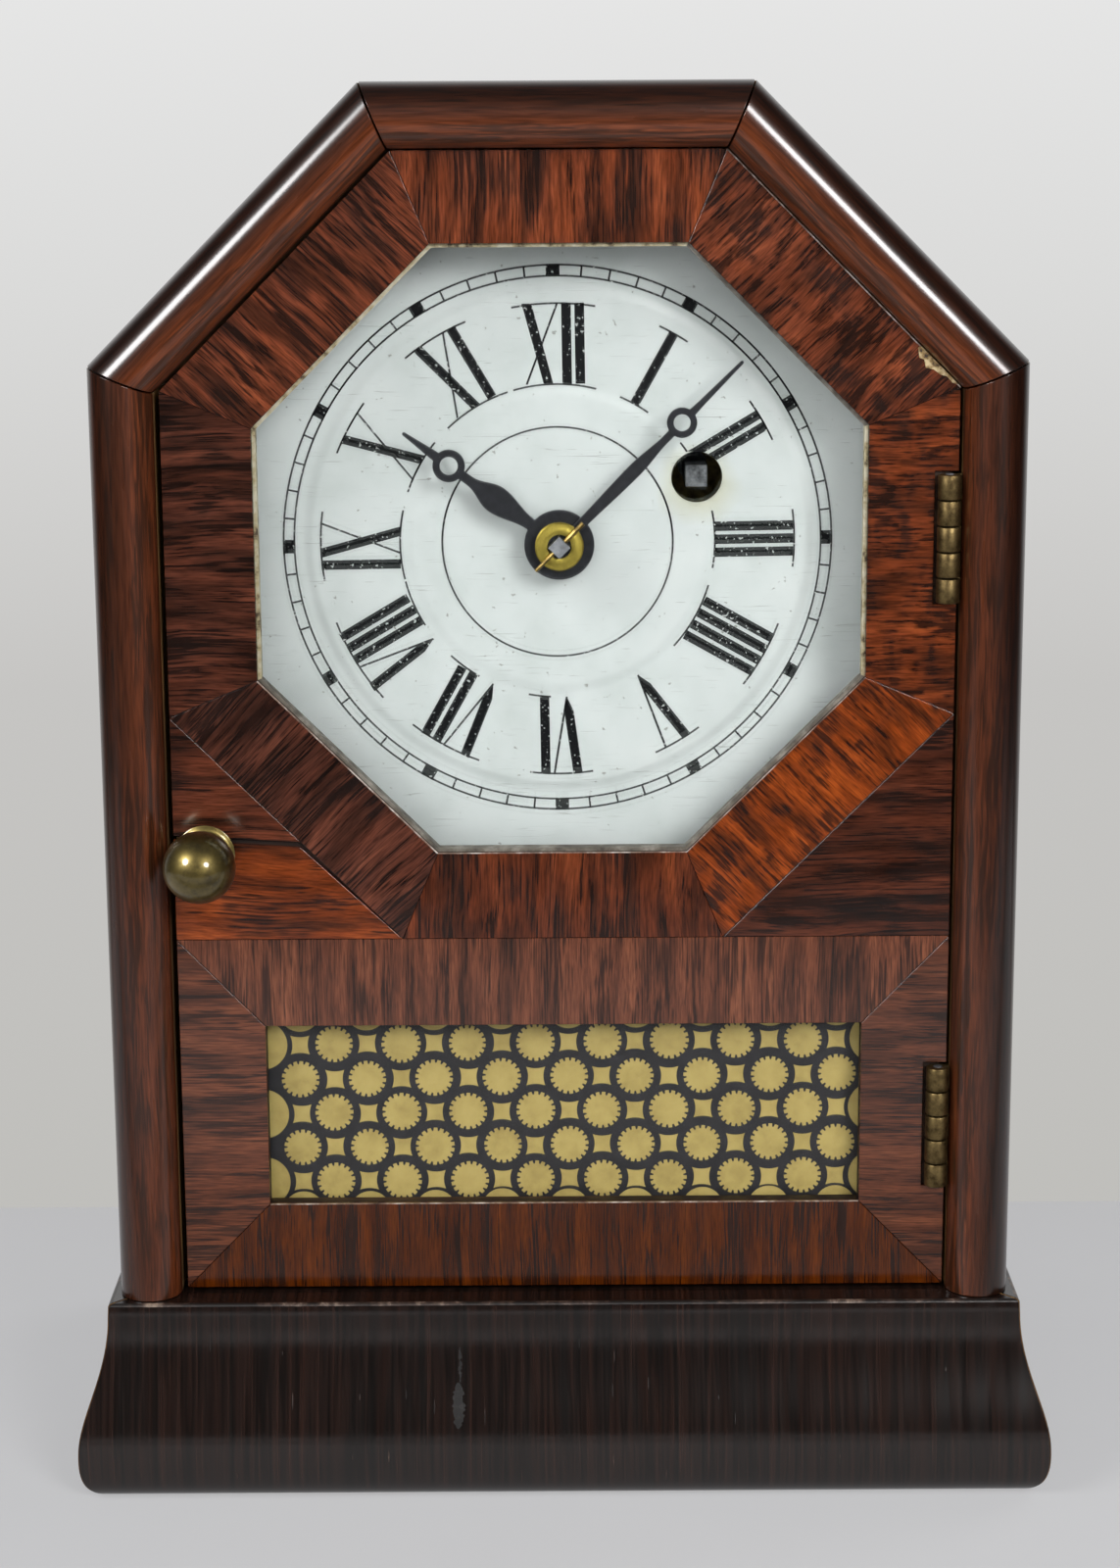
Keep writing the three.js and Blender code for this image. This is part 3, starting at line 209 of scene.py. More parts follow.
def build(name, points, faces, materials, body, finish, place=None, bevel=0.0, smooth=35, nodes=()):
    """Makes one piece from points in metres, sets it on its body, and takes the place of CAD nodes."""
    mesh = bpy.data.meshes.new(name)
    mesh.from_pydata([tuple(p) for p in points], [], faces)
    work = bmesh.new()
    work.from_mesh(mesh)
    bmesh.ops.remove_doubles(work, verts=work.verts, dist=1e-7)
    bmesh.ops.recalc_face_normals(work, faces=work.faces)
    work.to_mesh(mesh)
    work.free()
    mesh.shade_smooth()
    mesh.set_sharp_from_angle(angle=math.radians(smooth))
    for material in materials:
        mesh.materials.append(material)
    piece = bpy.data.objects.new(name, mesh)
    bpy.context.scene.collection.objects.link(piece)
    if place is not None:
        piece.matrix_world = place
    if bevel:
        edge = piece.modifiers.new("worn_edges", "BEVEL")
        edge.width = bevel * MM
        edge.segments = 2
        edge.limit_method = "ANGLE"
        edge.angle_limit = math.radians(38)
        edge.harden_normals = True
    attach(piece, body)
    if nodes:
        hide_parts(*nodes)
    return piece


def curve_points(a, b, c, d, steps):
    """Points on a Bezier curve in the section's plane, without its first one."""
    found = []
    for i in range(1, steps + 1):
        t = i / steps
        u = 1 - t
        found.append(tuple(
            u**3 * a[k] + 3 * u * u * t * b[k] + 3 * u * t * t * c[k] + t**3 * d[k] for k in (0, 1)
        ))
    return found


def mitred_bar(name, section, length, slopes, start, outward, second, grain, materials, **settings):
    """A length of moulding with mitred ends. Section points are (outward, second) in millimetres, and the
    slopes say how much longer each end gets outwards. The grain is 'along' the bar or along 'second'."""
    along = outward.cross(second)
    points = []
    for end in (0, 1):
        for u, v in section:
            w = length + u * slopes[1] if end else -u * slopes[0]
            points.append(Vector((w, u, v)) * MM if grain == "along" else Vector((v, w, u)) * MM)
    count = len(section)
    faces = [(i, (i + 1) % count, count + (i + 1) % count, count + i) for i in range(count)]
    faces += [tuple(range(count)), tuple(range(count, 2 * count))]
    axes = (along, outward, second) if grain == "along" else (second, along, outward)
    turn = Matrix(axes).transposed().to_4x4()
    return build(name, points, faces, materials, place=Matrix.Translation(start) @ turn, **settings)


wall, belly = PLINTH_WALL, PLINTH_WALL + PLINTH_SWELL
ogee_bends = [
    ((wall + PLINTH_FOOT, 0), (belly - 0.5, 1.2), (belly + 0.2, 4.6), (belly, 8.8), 14),
    ((belly, 8.8), (belly - 0.2, 15.5), (wall + 0.3, 21.5), (wall + 0.1, PLINTH_TOP - 2.5), 22),
    ((wall + 0.05, PLINTH_TOP - 0.7), (wall, PLINTH_TOP - 0.3), (wall - 0.3, PLINTH_TOP),
     (wall - 0.7, PLINTH_TOP), 5),
]
ogee = [(0, 0), (wall + PLINTH_FOOT, 0)]
for bend in ogee_bends:
    ogee += curve_points(*bend)
ogee += [(0, PLINTH_TOP)]

side_run = PLINTH_BACK - PLINTH_FRONT - MITRE_GAP
plinth_lengths = [
    ("plinth_front", 2 * (PLINTH_INSIDE - MITRE_GAP), (1, 1), at(PLINTH_INSIDE - MITRE_GAP, PLINTH_FRONT, 0),
     Vector((0, -1, 0)), "base_front_moulding"),
    ("plinth_right", side_run, (0, 1), at(PLINTH_INSIDE, PLINTH_BACK, 0),
     Vector((1, 0, 0)), "base_right_moulding"),
    ("plinth_left", side_run, (1, 0), at(-PLINTH_INSIDE, PLINTH_FRONT + MITRE_GAP, 0),
     Vector((-1, 0, 0)), "base_left_moulding"),
]
for name, length, slopes, start, outward, node in plinth_lengths:
    bar = mitred_bar(
        name, ogee, length, slopes, start, outward, UP, "second", [bent_veneer, old_pine, rubbed_stain],
        body="case", finish="dark_rosewood", bevel=0.18, nodes=[node],
    )
    leaf_shade(bar.data, bars=-0.2)
    for face in bar.data.polygons:
        up, _, out = face.center / MM
        if face.normal.z < -0.5 or face.normal.x < -0.9:  # the inside and the underside
            face.material_index = 1
        elif up > PLINTH_TOP - 0.6 and out > PLINTH_WALL - 0.65:  # the rounded top edge
            face.material_index = 2


def ogee_reach(z):
    """How far the face of the plinth stands out at a height."""
    for (near, low), (far, high) in zip(ogee[1:], ogee[2:]):
        if low <= z <= high:
            return near + (far - near) * (z - low) / (high - low)
    return PLINTH_WALL


SCRAPE_LAYER = (0.03, -0.15)  # from just proud of the veneer to inside it
scratch_places = random.Random(3)


def scrape(name, x, low, high, width, material, steps=24, ragged=0.0):
    """A scraped patch that follows the face of the front moulding, narrow at both ends. Ragged is how much of
    its width comes and goes."""
    points, faces = [], []
    for i in range(steps + 1):
        z = low + (high - low) * i / steps
        half = width / 2 * max(0.02, math.sin(math.pi * i / steps)) ** 0.5
        sides = [half * (1 - ragged * scratch_places.random()) for _ in range(2)]
        for lift in SCRAPE_LAYER:
            depth = PLINTH_FRONT - ogee_reach(z) - lift
            points += [at(x - sides[0], depth, z), at(x + sides[1], depth, z)]
    for i in range(0, 4 * steps, 4):
        faces += [(i, i + 1, i + 5, i + 4), (i + 2, i + 3, i + 7, i + 6)]
        faces += [(i, i + 2, i + 6, i + 4), (i + 1, i + 3, i + 7, i + 5)]
    faces += [(0, 1, 3, 2), tuple(4 * steps + k for k in (0, 1, 3, 2))]
    build(name, points, faces, [material], "case", "dark_rosewood")


scrape("scrape_on_plinth", -18.1, 13.0, 20.4, 2.7, scraped_polish, ragged=0.5)
scrape("scrape_above_on_plinth", -17.8, 20.2, 26.2, 0.9, scraped_polish, ragged=0.9)
for i in range(24):
    low = scratch_places.uniform(3, 28)
    scrape(
        f"scratch_on_plinth_{i}", scratch_places.uniform(-75, 75), low,
        low + scratch_places.uniform(0.6, 3.2), scratch_places.uniform(0.1, 0.18), rubbed_stain, steps=5,
    )

# Case
# Five boards mitred like the upper half of an octagon, glued on the plinth, dark veneer outside and bare
# pine inside. A pine board is nailed over the back.
CASE_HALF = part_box("case_right_column_board")[1].x / MM
CASE_BOARD = 10.5
CASE_INSIDE = CASE_HALF - CASE_BOARD
OCTAGON_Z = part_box("case_top_board")[1].z / MM - CASE_HALF
BOARD_BACK = (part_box("case_top_board")[1].y - DOOR_FACE) / MM
BOARD_FRONT = (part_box("case_top_board")[0].y - DOOR_FACE) / MM
EIGHTH = math.tan(math.pi / 8)
BACKWARDS = Vector((0, 1, 0))
SHELF = PLINTH_TOP + 0.1  # where the case stands on the plinth

case_stretches = ["right_column", "right_slope", "top", "left_slope", "left_column"]
half_side = CASE_INSIDE * EIGHTH - MITRE_GAP
column_drop = OCTAGON_Z - SHELF


def round_case(kind, section, materials, node, **settings):
    """Takes one section round the five stretches of the case, and gives each stretch with its bar."""
    for turn, stretch in enumerate(case_stretches):
        angle = turn * math.pi / 4
        outward = Vector((math.cos(angle), 0, math.sin(angle)))
        before = column_drop if turn == 0 else half_side
        after = column_drop if turn == 4 else half_side
        slopes = (0 if turn == 0 else EIGHTH, 0 if turn == 4 else EIGHTH)
        start = at(0, 0, OCTAGON_Z) + outward * CASE_INSIDE * MM - outward.cross(BACKWARDS) * before * MM
        bar = mitred_bar(
            f"{stretch}_{kind}", section, before + after, slopes, start, outward, BACKWARDS, "along",
            materials, body="case", nodes=[node.format(stretch)], **settings,
        )
        yield stretch, bar


board_section = [(0, BOARD_FRONT), (CASE_BOARD, BOARD_FRONT), (CASE_BOARD, BOARD_BACK), (0, BOARD_BACK)]
for _, board in round_case(
    "board", board_section, [flat_veneer, old_pine], "case_{}_board", finish="dark_rosewood", bevel=0.2
):
    leaf_shade(board.data, shift=0.03, bars=-0.12)
    for face in board.data.polygons:
        if face.normal.y < 0.9:  # all but the outside
            face.material_index = 1


def plate(name, rim, front, back, materials, holes=(), grain=0.0, sheet=(0.0, 0.0), **settings):
    """A flat piece from its outline (across, up) in millimetres, with holes, between two depths. Its own X
    lies along the grain, an angle from the horizontal, and sheet says where in the wood it was cut."""
    turn = Matrix.Rotation(-grain, 2)
    loops = [[turn @ Vector(p) for p in loop] for loop in (rim, *holes)]
    middle = sum(loops[0], Vector((0, 0))) / len(loops[0])
    loops = [[p - middle for p in loop] for loop in loops]
    flat_points = [p for loop in loops for p in loop]
    edges, start = [], 0
    for loop in loops:
        edges += [(start + i, start + (i + 1) % len(loop)) for i in range(len(loop))]
        start += len(loop)
    if holes:
        flat_points, _, triangles, *_ = delaunay_2d_cdt(flat_points, edges, [], 0, 1e-6)
        inside = []
        for triangle in triangles:
            centre = sum((flat_points[i] for i in triangle), Vector((0, 0))) / 3
            crossings = 0
            for loop in loops:
                for a, b in zip(loop, loop[1:] + loop[:1]):
                    if (a.y > centre.y) != (b.y > centre.y):
                        crossings += centre.x < a.x + (b.x - a.x) * (centre.y - a.y) / (b.y - a.y)
            if crossings % 2:
                inside.append(tuple(triangle))
    else:
        inside = [tuple(range(len(flat_points)))]
    count = len(flat_points)
    offset = Vector(sheet)
    points = [
        ((p.x + offset.x) * MM, (p.y + offset.y) * MM, z * MM) for z in (0, front - back) for p in flat_points
    ]
    faces = inside + [tuple(count + i for i in face) for face in inside]
    faces += [(a, b, count + b, count + a) for a, b in edges]
    axis_x = Vector((math.cos(grain), 0, math.sin(grain)))
    axis_y = Vector((-math.sin(grain), 0, math.cos(grain)))
    axes = Matrix((axis_x, axis_y, Vector((0, -1, 0)))).transposed().to_4x4()
    corner = axis_x * (middle.x - offset.x) * MM + axis_y * (middle.y - offset.y) * MM
    spot = Matrix.Translation(corner + Vector((0, DOOR_FACE + front * MM, 0))) @ axes
    return build(name, points, faces, materials, place=spot, **settings)


back_low, back_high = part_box("back_board")
BACK_FRONT = (back_low.y - DOOR_FACE) / MM
BACK_FACE = (back_high.y - DOOR_FACE) / MM
foot_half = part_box("floor_board")[1].x / MM
back_side = CASE_HALF * EIGHTH
back_rim = [
    (-foot_half, SHELF), (-foot_half, 0), (foot_half, 0), (foot_half, SHELF), (CASE_HALF, SHELF),
    (CASE_HALF, OCTAGON_Z + back_side), (back_side, OCTAGON_Z + CASE_HALF),
    (-back_side, OCTAGON_Z + CASE_HALF), (-CASE_HALF, OCTAGON_Z + back_side), (-CASE_HALF, SHELF),
]
back_panel = plate(
    "back_panel", back_rim, BACK_FRONT, BACK_FACE, [old_pine], grain=math.pi / 2,
    body="case", finish="softwood", bevel=0.4, nodes=["back_board"],
)
leaf_shade(back_panel.data, value=0.9)


def dress(material, *nodes):
    """Gives its material to each CAD node that stays in sight as it is."""
    for node in nodes:
        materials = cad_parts[node].data.materials
        materials.clear()
        materials.append(material)


for inner in ("dial_cleat_left", "dial_cleat_right", "movement_board", "floor_board"):
    dress(old_pine, inner)
    leaf_shade(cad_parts[inner].data)

# Half-round mouldings
# Five lengths of turned half-round, glued on the front edges of the case boards and mitred at the corners.
# They are rosewood with the grain along them, under a thick clear polish, with painted shade darkening their
# outer halves.
moulding_wood = polished_wood(
    "polished_rosewood_moulding",
    [(0.30, "#41200f"), (0.44, "#4d2614"), (0.56, "#582b16"), (0.74, "#67341b")],
    figure=(150, 6), dashes=(9, 0.5), gathering=(40, 3), bars=(90, 2.6), pores=(7, 0.4), sway=0.5,
    polish=0.28, shine=0.2, soot="#2b170c", lacquer=0.6,
)
ROUND_STEPS = 24
OUTER_SHADE_STARTS = 0.2  # shares of a moulding's width, from its inner edge, where the painted shade begins and is full
OUTER_SHADE_FULL = 0.88
round_angles = [math.pi * i / ROUND_STEPS for i in range(ROUND_STEPS + 1)]
half_round = [(CASE_BOARD / 2 * (1 - math.cos(a)), -CASE_BOARD / 2 * math.sin(a)) for a in round_angles]
moulding_shades = {  # as leaf_shade takes them
    "right_column": (0.0, 1.0, 1.16, -0.2), "right_slope": (0.04, 1.02, 1.8, -0.2),
    "top": (0.02, 1.0, 1.95, -0.2), "left_slope": (0.04, 1.02, 1.75, -0.2),
    "left_column": (0.0, 1.0, 1.3, -0.2),
}
# Painted shade: the share of its colour that each stretch keeps at its outer edge.
outer_shade_darkest = {
    "right_column": 0.2, "right_slope": 0.12, "top": 0.12, "left_slope": 0.12, "left_column": 0.42,
}


def soot_outside(mesh, darkest):
    """Paints shade into the colour of the outer half of a moulding, darker towards its outer edge."""
    for vertex, corner in zip(mesh.vertices, mesh.color_attributes["leaf"].data):
        reach = (vertex.co.y / MM / CASE_BOARD - OUTER_SHADE_STARTS) / (OUTER_SHADE_FULL - OUTER_SHADE_STARTS)
        reach = min(1.0, max(0.0, reach))
        shift, saturation, bars, value = corner.color
        value *= 1 - (1 - darkest) * reach * reach * (3 - 2 * reach)
        corner.color = (shift, saturation, bars, value)


# Each moulding gets its own tone, and painted shade on its outer half.
for stretch, moulding in round_case(
    "moulding", half_round, [moulding_wood], "moulding_{}", finish="rosewood", bevel=0.12
):
    leaf_shade(moulding.data, *moulding_shades[stretch])
    soot_outside(moulding.data, outer_shade_darkest[stretch])

# Movement
# A spring-driven train between two rolled brass plates, screwed to a board at the back of the case. The
# wheels are stamped brass, and the arbors, pillars and spring are drawn steel.
NAIL_HEAD = 1.7
NAIL_DOME = 1.1
BOB_STEPS = 24


def worn_metal(name, clean, tarnished, roughness, spot, share=0.5, lacquer=0.0):
    """Metal with a skin of tarnish in soft spots of the given size, duller where it is darker. Lacquer is how
    much of a clear glossy coat lies over it."""
    stops = [(share - 0.16, tarnished), (share + 0.16, clean)]
    material, tree, shader, _ = mottled(name, spot, stops, (roughness + 0.14, roughness), grain=0.62)
    place = add_node(tree, "TexCoord", output="Object")
    scratch = add_node(tree, "TexNoise", {"Vector": place, "Scale": 1 / (0.5 * MM), "Detail": 3.0})
    relief = add_node(tree, "Bump", {"Height": scratch, "Strength": 0.1, "Distance": 0.05 * MM})
    feed(tree, shader, {
        "Normal": relief, "Metallic": 1.0, "Coat Weight": lacquer, "Coat Roughness": 0.1,
    })
    return material


# Drawn steel, grey and slightly matt, with a few darker stains.
drawn_steel = worn_metal("drawn_steel", "#a4a7ab", "#6d6f72", 0.46, 3.0)
# Rolled brass, dulled to olive in the hollows and still yellow where it has been handled.
old_brass = worn_metal("aged_brass", "#8f7a48", "#4d3f24", 0.36, 2.5)
# The winding square, bruised and darkened by the key.
keyed_steel = worn_metal("key_worn_steel", "#85888a", "#3d3e40", 0.5, 1.3)

dress(
    old_brass, "front_plate", "back_plate", "great_wheel", "centre_wheel", "third_wheel", "escape_wheel",
    "escape_bridge", "minute_wheel", "hour_wheel", "suspension_cock", "rating_nut", "latch_keeper",
    "latch_tongue",
)
dress(
    drawn_steel, "pillar_lower_left", "pillar_lower_right", "pillar_upper_left", "pillar_upper_right",
    "click", "mainspring", "centre_arbor", "verge", "pendulum_rod", "hinge_upper_pin", "hinge_lower_pin",
)
dress(keyed_steel, "winding_arbor")


def lathe(name, profile, centre, materials, sides=64, **settings):
    """A turned piece whose axis runs along the depth. The profile is (radius, depth) in millimetres."""
    points, faces, rows = [], [], []
    for radius, depth in profile:
        if radius < 1e-6:
            rows.append([len(points)])
            points.append(Vector((0, 0, -depth)) * MM)
            continue
        rows.append(list(range(len(points), len(points) + sides)))
        for i in range(sides):
            angle = 2 * math.pi * i / sides
            points.append(Vector((radius * math.cos(angle), radius * math.sin(angle), -depth)) * MM)
    for first, second in zip(rows, rows[1:]):
        for i in range(sides):
            j = (i + 1) % sides
            ring = [first[i % len(first)], first[j % len(first)]]
            ring += [second[j % len(second)], second[i % len(second)]]
            faces.append(tuple(dict.fromkeys(ring)))
    turn = Matrix.Rotation(math.pi / 2, 4, "X")
    return build(name, points, faces, materials, place=Matrix.Translation(centre) @ turn, **settings)


# The back board is nailed on behind the works, with the same steel.
floor_low, floor_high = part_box("floor_board")
floor_middle = (floor_low.z + floor_high.z) / 2 / MM
nail_profile = [
    (0, BACK_FACE - 1), (NAIL_HEAD, BACK_FACE - 1), (NAIL_HEAD, BACK_FACE), (NAIL_DOME, BACK_FACE + 0.06),
    (0, BACK_FACE + 0.08),
]
nail_spots = [(x, z) for x in (-71, 71) for z in (42, 78, 114, 150, 186)]
nail_spots += [(x, z) for x in (-36, 0, 36) for z in (floor_middle, 231 - 0.28 * abs(x))]  # bottom and top
for i, (x, z) in enumerate(nail_spots):
    lathe(f"back_nail_{i}", nail_profile, at(x, 0, z), [drawn_steel], sides=20, body="case", finish="steel")

bob_low, bob_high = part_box("pendulum_bob")
bob_middle = (bob_low + bob_high) / 2
bob_radius = (bob_high.x - bob_low.x) / 2 / MM
bob_half = (bob_high.y - bob_low.y) / 2 / MM
bob_angles = [math.pi * i / BOB_STEPS for i in range(1, BOB_STEPS)]
bob_profile = [(0, -bob_half)]
bob_profile += [(bob_radius * math.sin(a), -bob_half * math.cos(a)) for a in bob_angles]
bob_profile += [(0, bob_half)]
lathe(
    "pendulum_lens", bob_profile, bob_middle, [old_brass], body="bob", finish="brass", nodes=["pendulum_bob"],
)

# Dial
# A sheet of zinc painted white and pressed with two low rings, nailed to a cleat at each side. Many years
# of winding have left fine scratches, grey dust in the pressed rings and a yellow stain by the key hole.
DIAL_Z = 161.8
DIAL_FRONT = (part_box("dial_plate")[0].y - DOOR_FACE) / MM
DIAL_BACK = (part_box("dial_plate")[1].y - DOOR_FACE) / MM
DIAL_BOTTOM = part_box("dial_plate")[0].z / MM
DIAL_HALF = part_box("dial_plate")[1].x / MM
KEY_HOLE = (23.1, 10.6)
KEY_HOLE_RADIUS = 4.3
HAND_HOLE_RADIUS = 3.6
PRESSED = 0.38  # the height of the outer step, and of the inner one
INNER_PRESSED = 0.6 * PRESSED
INNER_STEP = (24.2, 26.4)  # where the sheet steps down from the middle, and again at the track
OUTER_STEP = (41.2, 43.2)


def dial_paint_material():
    """Cool white paint, slightly uneven, with long grey scratches, a yellow stain and dark specks."""
    material, tree, shader = new_material("painted_zinc_dial")
    place = add_node(tree, "TexCoord", output="Object")
    dusting = {"Vector": place, "Scale": 1 / (14 * MM), "Detail": 5.0, "Roughness": 0.6}
    dust = add_node(tree, "TexNoise", dusting)
    whites = [(0.3, "#ced6d3"), (0.52, "#d9e0de"), (0.72, "#dfe5e3")]
    paint = add_node(tree, "ValToRGB", [dust], stops=whites)
    stretch = (1 / (9 * MM), 1 / (0.3 * MM), 1 / (9 * MM))
    slanting = add_node(tree, "Mapping", {"Vector": place, "Rotation": (0, 0, 0.6), "Scale": stretch})
    scratching = {"Vector": slanting, "Scale": 1.0, "Detail": 1.0, "Distortion": 1.5}
    scratches = add_node(tree, "TexNoise", scratching)
    scratch_line = add_node(tree, "MapRange", [scratches, 0.69, 0.75, 0.0, 0.5])
    scratched = add_node(tree, "Mix", {0: scratch_line, 6: paint, 7: linear("#8b9089")}, 2, data_type="RGBA")
    stain_middle = (KEY_HOLE[0] * MM, (KEY_HOLE[1] - 1.5) * MM, 0)
    stain_place = add_node(tree, "VectorMath", [place, stain_middle], "Value", operation="DISTANCE")
    stain_cloud = add_node(tree, "Math", [dust, 6 * MM, stain_place], operation="MULTIPLY_ADD")
    stain = add_node(tree, "MapRange", [stain_cloud, 6.5 * MM, 10.5 * MM, 0.5, 0.0])
    stained = add_node(tree, "Mix", {0: stain, 6: scratched, 7: linear("#c9c59c")}, 2, data_type="RGBA")
    specks = add_node(tree, "TexNoise", {"Vector": place, "Scale": 1 / (1.1 * MM), "Detail": 2.0})
    speck = add_node(tree, "MapRange", [specks, 0.71, 0.75, 0.0, 0.75])
    specked = add_node(tree, "Mix", {0: speck, 6: stained, 7: linear("#84877d")}, 2, data_type="RGBA")
    relief = add_node(tree, "Bump", {"Height": dust, "Strength": 0.2, "Distance": 0.15 * MM})
    feed(tree, shader, {"Base Color": specked, "Roughness": 0.42, "Normal": relief})
    return material


painted_zinc = dial_paint_material()


def pressed_depth(radius):
    """How far the pressed rings lift the sheet towards the eye, at a distance from the middle."""

    def step(start, end):
        t = min(1.0, max(0.0, (radius - start) / (end - start)))
        return t * t * (3 - 2 * t)

    return PRESSED * (1 - step(*OUTER_STEP)) + INNER_PRESSED * (1 - step(*INNER_STEP))


def ring_points(radius, count, x=0.0, z=0.0):
    return [
        (x + radius * math.sin(2 * math.pi * i / count), z + radius * math.cos(2 * math.pi * i / count))
        for i in range(count)
    ]


dial_points, dial_edges = [], []


def dial_loop(loop, closed=True):
    """Adds a line of points to the sheet's mesh, joined up if it is closed."""
    first = len(dial_points)
    dial_points.extend(Vector(p) for p in loop)
    if closed:
        dial_edges.extend((first + i, first + (i + 1) % len(loop)) for i in range(len(loop)))


dial_side = DIAL_HALF * EIGHTH
dial_lift = OCTAGON_Z - DIAL_Z
dial_loop([
    (-DIAL_HALF, DIAL_BOTTOM - DIAL_Z), (DIAL_HALF, DIAL_BOTTOM - DIAL_Z), (DIAL_HALF, dial_lift + dial_side),
    (dial_side, dial_lift + DIAL_HALF), (-dial_side, dial_lift + DIAL_HALF),
    (-DIAL_HALF, dial_lift + dial_side),
])
dial_loop(ring_points(HAND_HOLE_RADIUS, 48))
dial_loop(ring_points(KEY_HOLE_RADIUS, 48, *KEY_HOLE))
# Rings of points, close together where the sheet steps down.
ring_radii = [10, 16, 20, 23.6] + [INNER_STEP[0] + 0.275 * i for i in range(9)] + [27, 30, 33, 36, 39, 40.6]
ring_radii += [OUTER_STEP[0] + 0.25 * i for i in range(9)] + [44, 47, 50, 53]
for radius in ring_radii:
    ring = ring_points(radius, 160)
    clear = [p for p in ring if math.dist(p, KEY_HOLE) > KEY_HOLE_RADIUS + 0.4]
    dial_loop(clear, closed=len(clear) == len(ring))
sheet_points, _, sheet_faces, *_ = delaunay_2d_cdt(dial_points, dial_edges, [], 0, 1e-6)
kept_faces = []
for face in sheet_faces:
    middle = sum((sheet_points[i] for i in face), Vector((0, 0))) / 3
    if middle.length > HAND_HOLE_RADIUS - 0.01 and math.dist(middle, KEY_HOLE) > KEY_HOLE_RADIUS - 0.01:
        kept_faces.append(tuple(face))
count = len(sheet_points)
thick = DIAL_BACK - DIAL_FRONT
dial_shell = [
    (p.x * MM, p.y * MM, (pressed_depth(p.length) - down) * MM) for down in (0, thick) for p in sheet_points
]
edge_use = {}
for face in kept_faces:
    for a, b in zip(face, face[1:] + face[:1]):
        edge_use.setdefault(frozenset((a, b)), []).append((a, b))
dial_faces = kept_faces + [tuple(count + i for i in face) for face in kept_faces]
dial_faces += [(a, b, count + b, count + a) for uses in edge_use.values() if len(uses) == 1 for a, b in uses]
FACING = Matrix((Vector((1, 0, 0)), Vector((0, 0, 1)), Vector((0, -1, 0)))).transposed().to_4x4()
dial_place = Matrix.Translation(at(0, DIAL_FRONT, DIAL_Z)) @ FACING
build(
    "pressed_dial", dial_shell, dial_faces, [painted_zinc], "case", "dial_paint", place=dial_place,
    nodes=["dial_plate"],
)

# Numerals and minute track
# Printed on the dial in one thin coat of black: roman numerals that stand on the centre, thick and thin
# strokes between hairline serifs, and a railway track with a block at every hour. The ink is worn in specks.
DIAL_TURN = math.radians(0.7)
INK = 0.03
PRINT_SHIFT = (-0.3, -0.25)  # the printing isn't quite central
NUMERAL_FOOT = 26.5
NUMERAL_HEAD = 39.85
THICK = 1.6
THIN = 0.36
HAIRLINE = 0.32
OVERHANG = 1.6
I_PITCH = 2.2
V_WIDTH = 5.4
V_POINT = 2.4
V_HEAD = 0.62 * THICK  # how far in the thick stroke of a V starts
X_WIDTH = 6.4
X_FOOT = 2.0  # how far the thick stroke of an X is set in at its foot, and at its head
X_HEAD = 0.95
X_THIN_FOOT = 0.75
TRACK_OUTER = 46.14
TRACK_INNER = 44.34
MIDDLE_CIRCLE = 19.4
HOUR_BLOCK = (2.3, 0.16)  # the width of a mark in the track, and how far it runs past the lines
MINUTE_TICK = (0.32, 0.05)


def ink_material():
    """Flat black ink, worn through to the white in small specks."""
    material, tree, shader = new_material("printing_ink")
    place = add_node(tree, "TexCoord", output="Object")
    specks = {"Vector": place, "Scale": 1 / (0.55 * MM), "Detail": 1.0, "Roughness": 0.5}
    wear = add_node(tree, "TexNoise", specks)
    bare = add_node(tree, "MapRange", [wear, 0.67, 0.70, 0.0, 0.9])
    colour = add_node(tree, "Mix", {0: bare, 6: linear("#090a0d"), 7: linear("#c9cecb")}, 2, data_type="RGBA")
    feed(tree, shader, {"Base Color": colour, "Roughness": 0.5, "Specular IOR Level": 0.15})
    return material


ink = ink_material()


def add_slab(points, faces, corners):
    """Adds a thin closed slab: first the corners of its front, then those of its back."""
    first, n = len(points), len(corners) // 2
    points.extend(corners)
    faces.append(tuple(first + i for i in range(n)))
    faces.append(tuple(first + n + i for i in reversed(range(n))))
    faces.extend((first + i, first + (i + 1) % n, first + n + (i + 1) % n, first + n + i) for i in range(n))


ink_points, ink_faces = [], []


def ink_patch(corners):
    """A patch of ink on the dial: corners (across, up) from the middle."""
    slab = [
        (x * MM, z * MM, (pressed_depth(math.hypot(x, z)) + lift) * MM)
        for lift in (INK, -INK)
        for x, z in corners
    ]
    add_slab(ink_points, ink_faces, slab)


def on_ray(angle, across, out):
    """A point beside a ray from the middle: across is to the right of the ray, out is along it."""
    s, c = math.sin(angle), math.cos(angle)
    return (PRINT_SHIFT[0] + out * s + across * c, PRINT_SHIFT[1] + out * c - across * s)


def past_key_hole(start, end):
    """The first point on the way from start to end that isn't over the winding hole."""
    start, end = Vector(start), Vector(end)
    for share in range(101):
        spot = start.lerp(end, share / 100)
        if math.dist(spot, KEY_HOLE) > KEY_HOLE_RADIUS:
            break
    return tuple(spot)


def ink_stroke(angle, foot, head, width, point=0.0):
    """A stroke from its foot to its head, each (across, out), cut off by the winding hole. Its ends are
    level, or its foot comes to a point, of the given length."""
    half = width / 2
    share = point / (head[1] - foot[1])
    shoulder = (foot[0] + (head[0] - foot[0]) * share, foot[1] + point)
    head_left = on_ray(angle, head[0] - half, head[1])
    head_right = on_ray(angle, head[0] + half, head[1])
    outline = [
        past_key_hole(on_ray(angle, shoulder[0] + half, shoulder[1]), head_right), head_right, head_left,
        past_key_hole(on_ray(angle, shoulder[0] - half, shoulder[1]), head_left),
    ]
    ink_patch(outline + ([on_ray(angle, *foot)] if point else []))


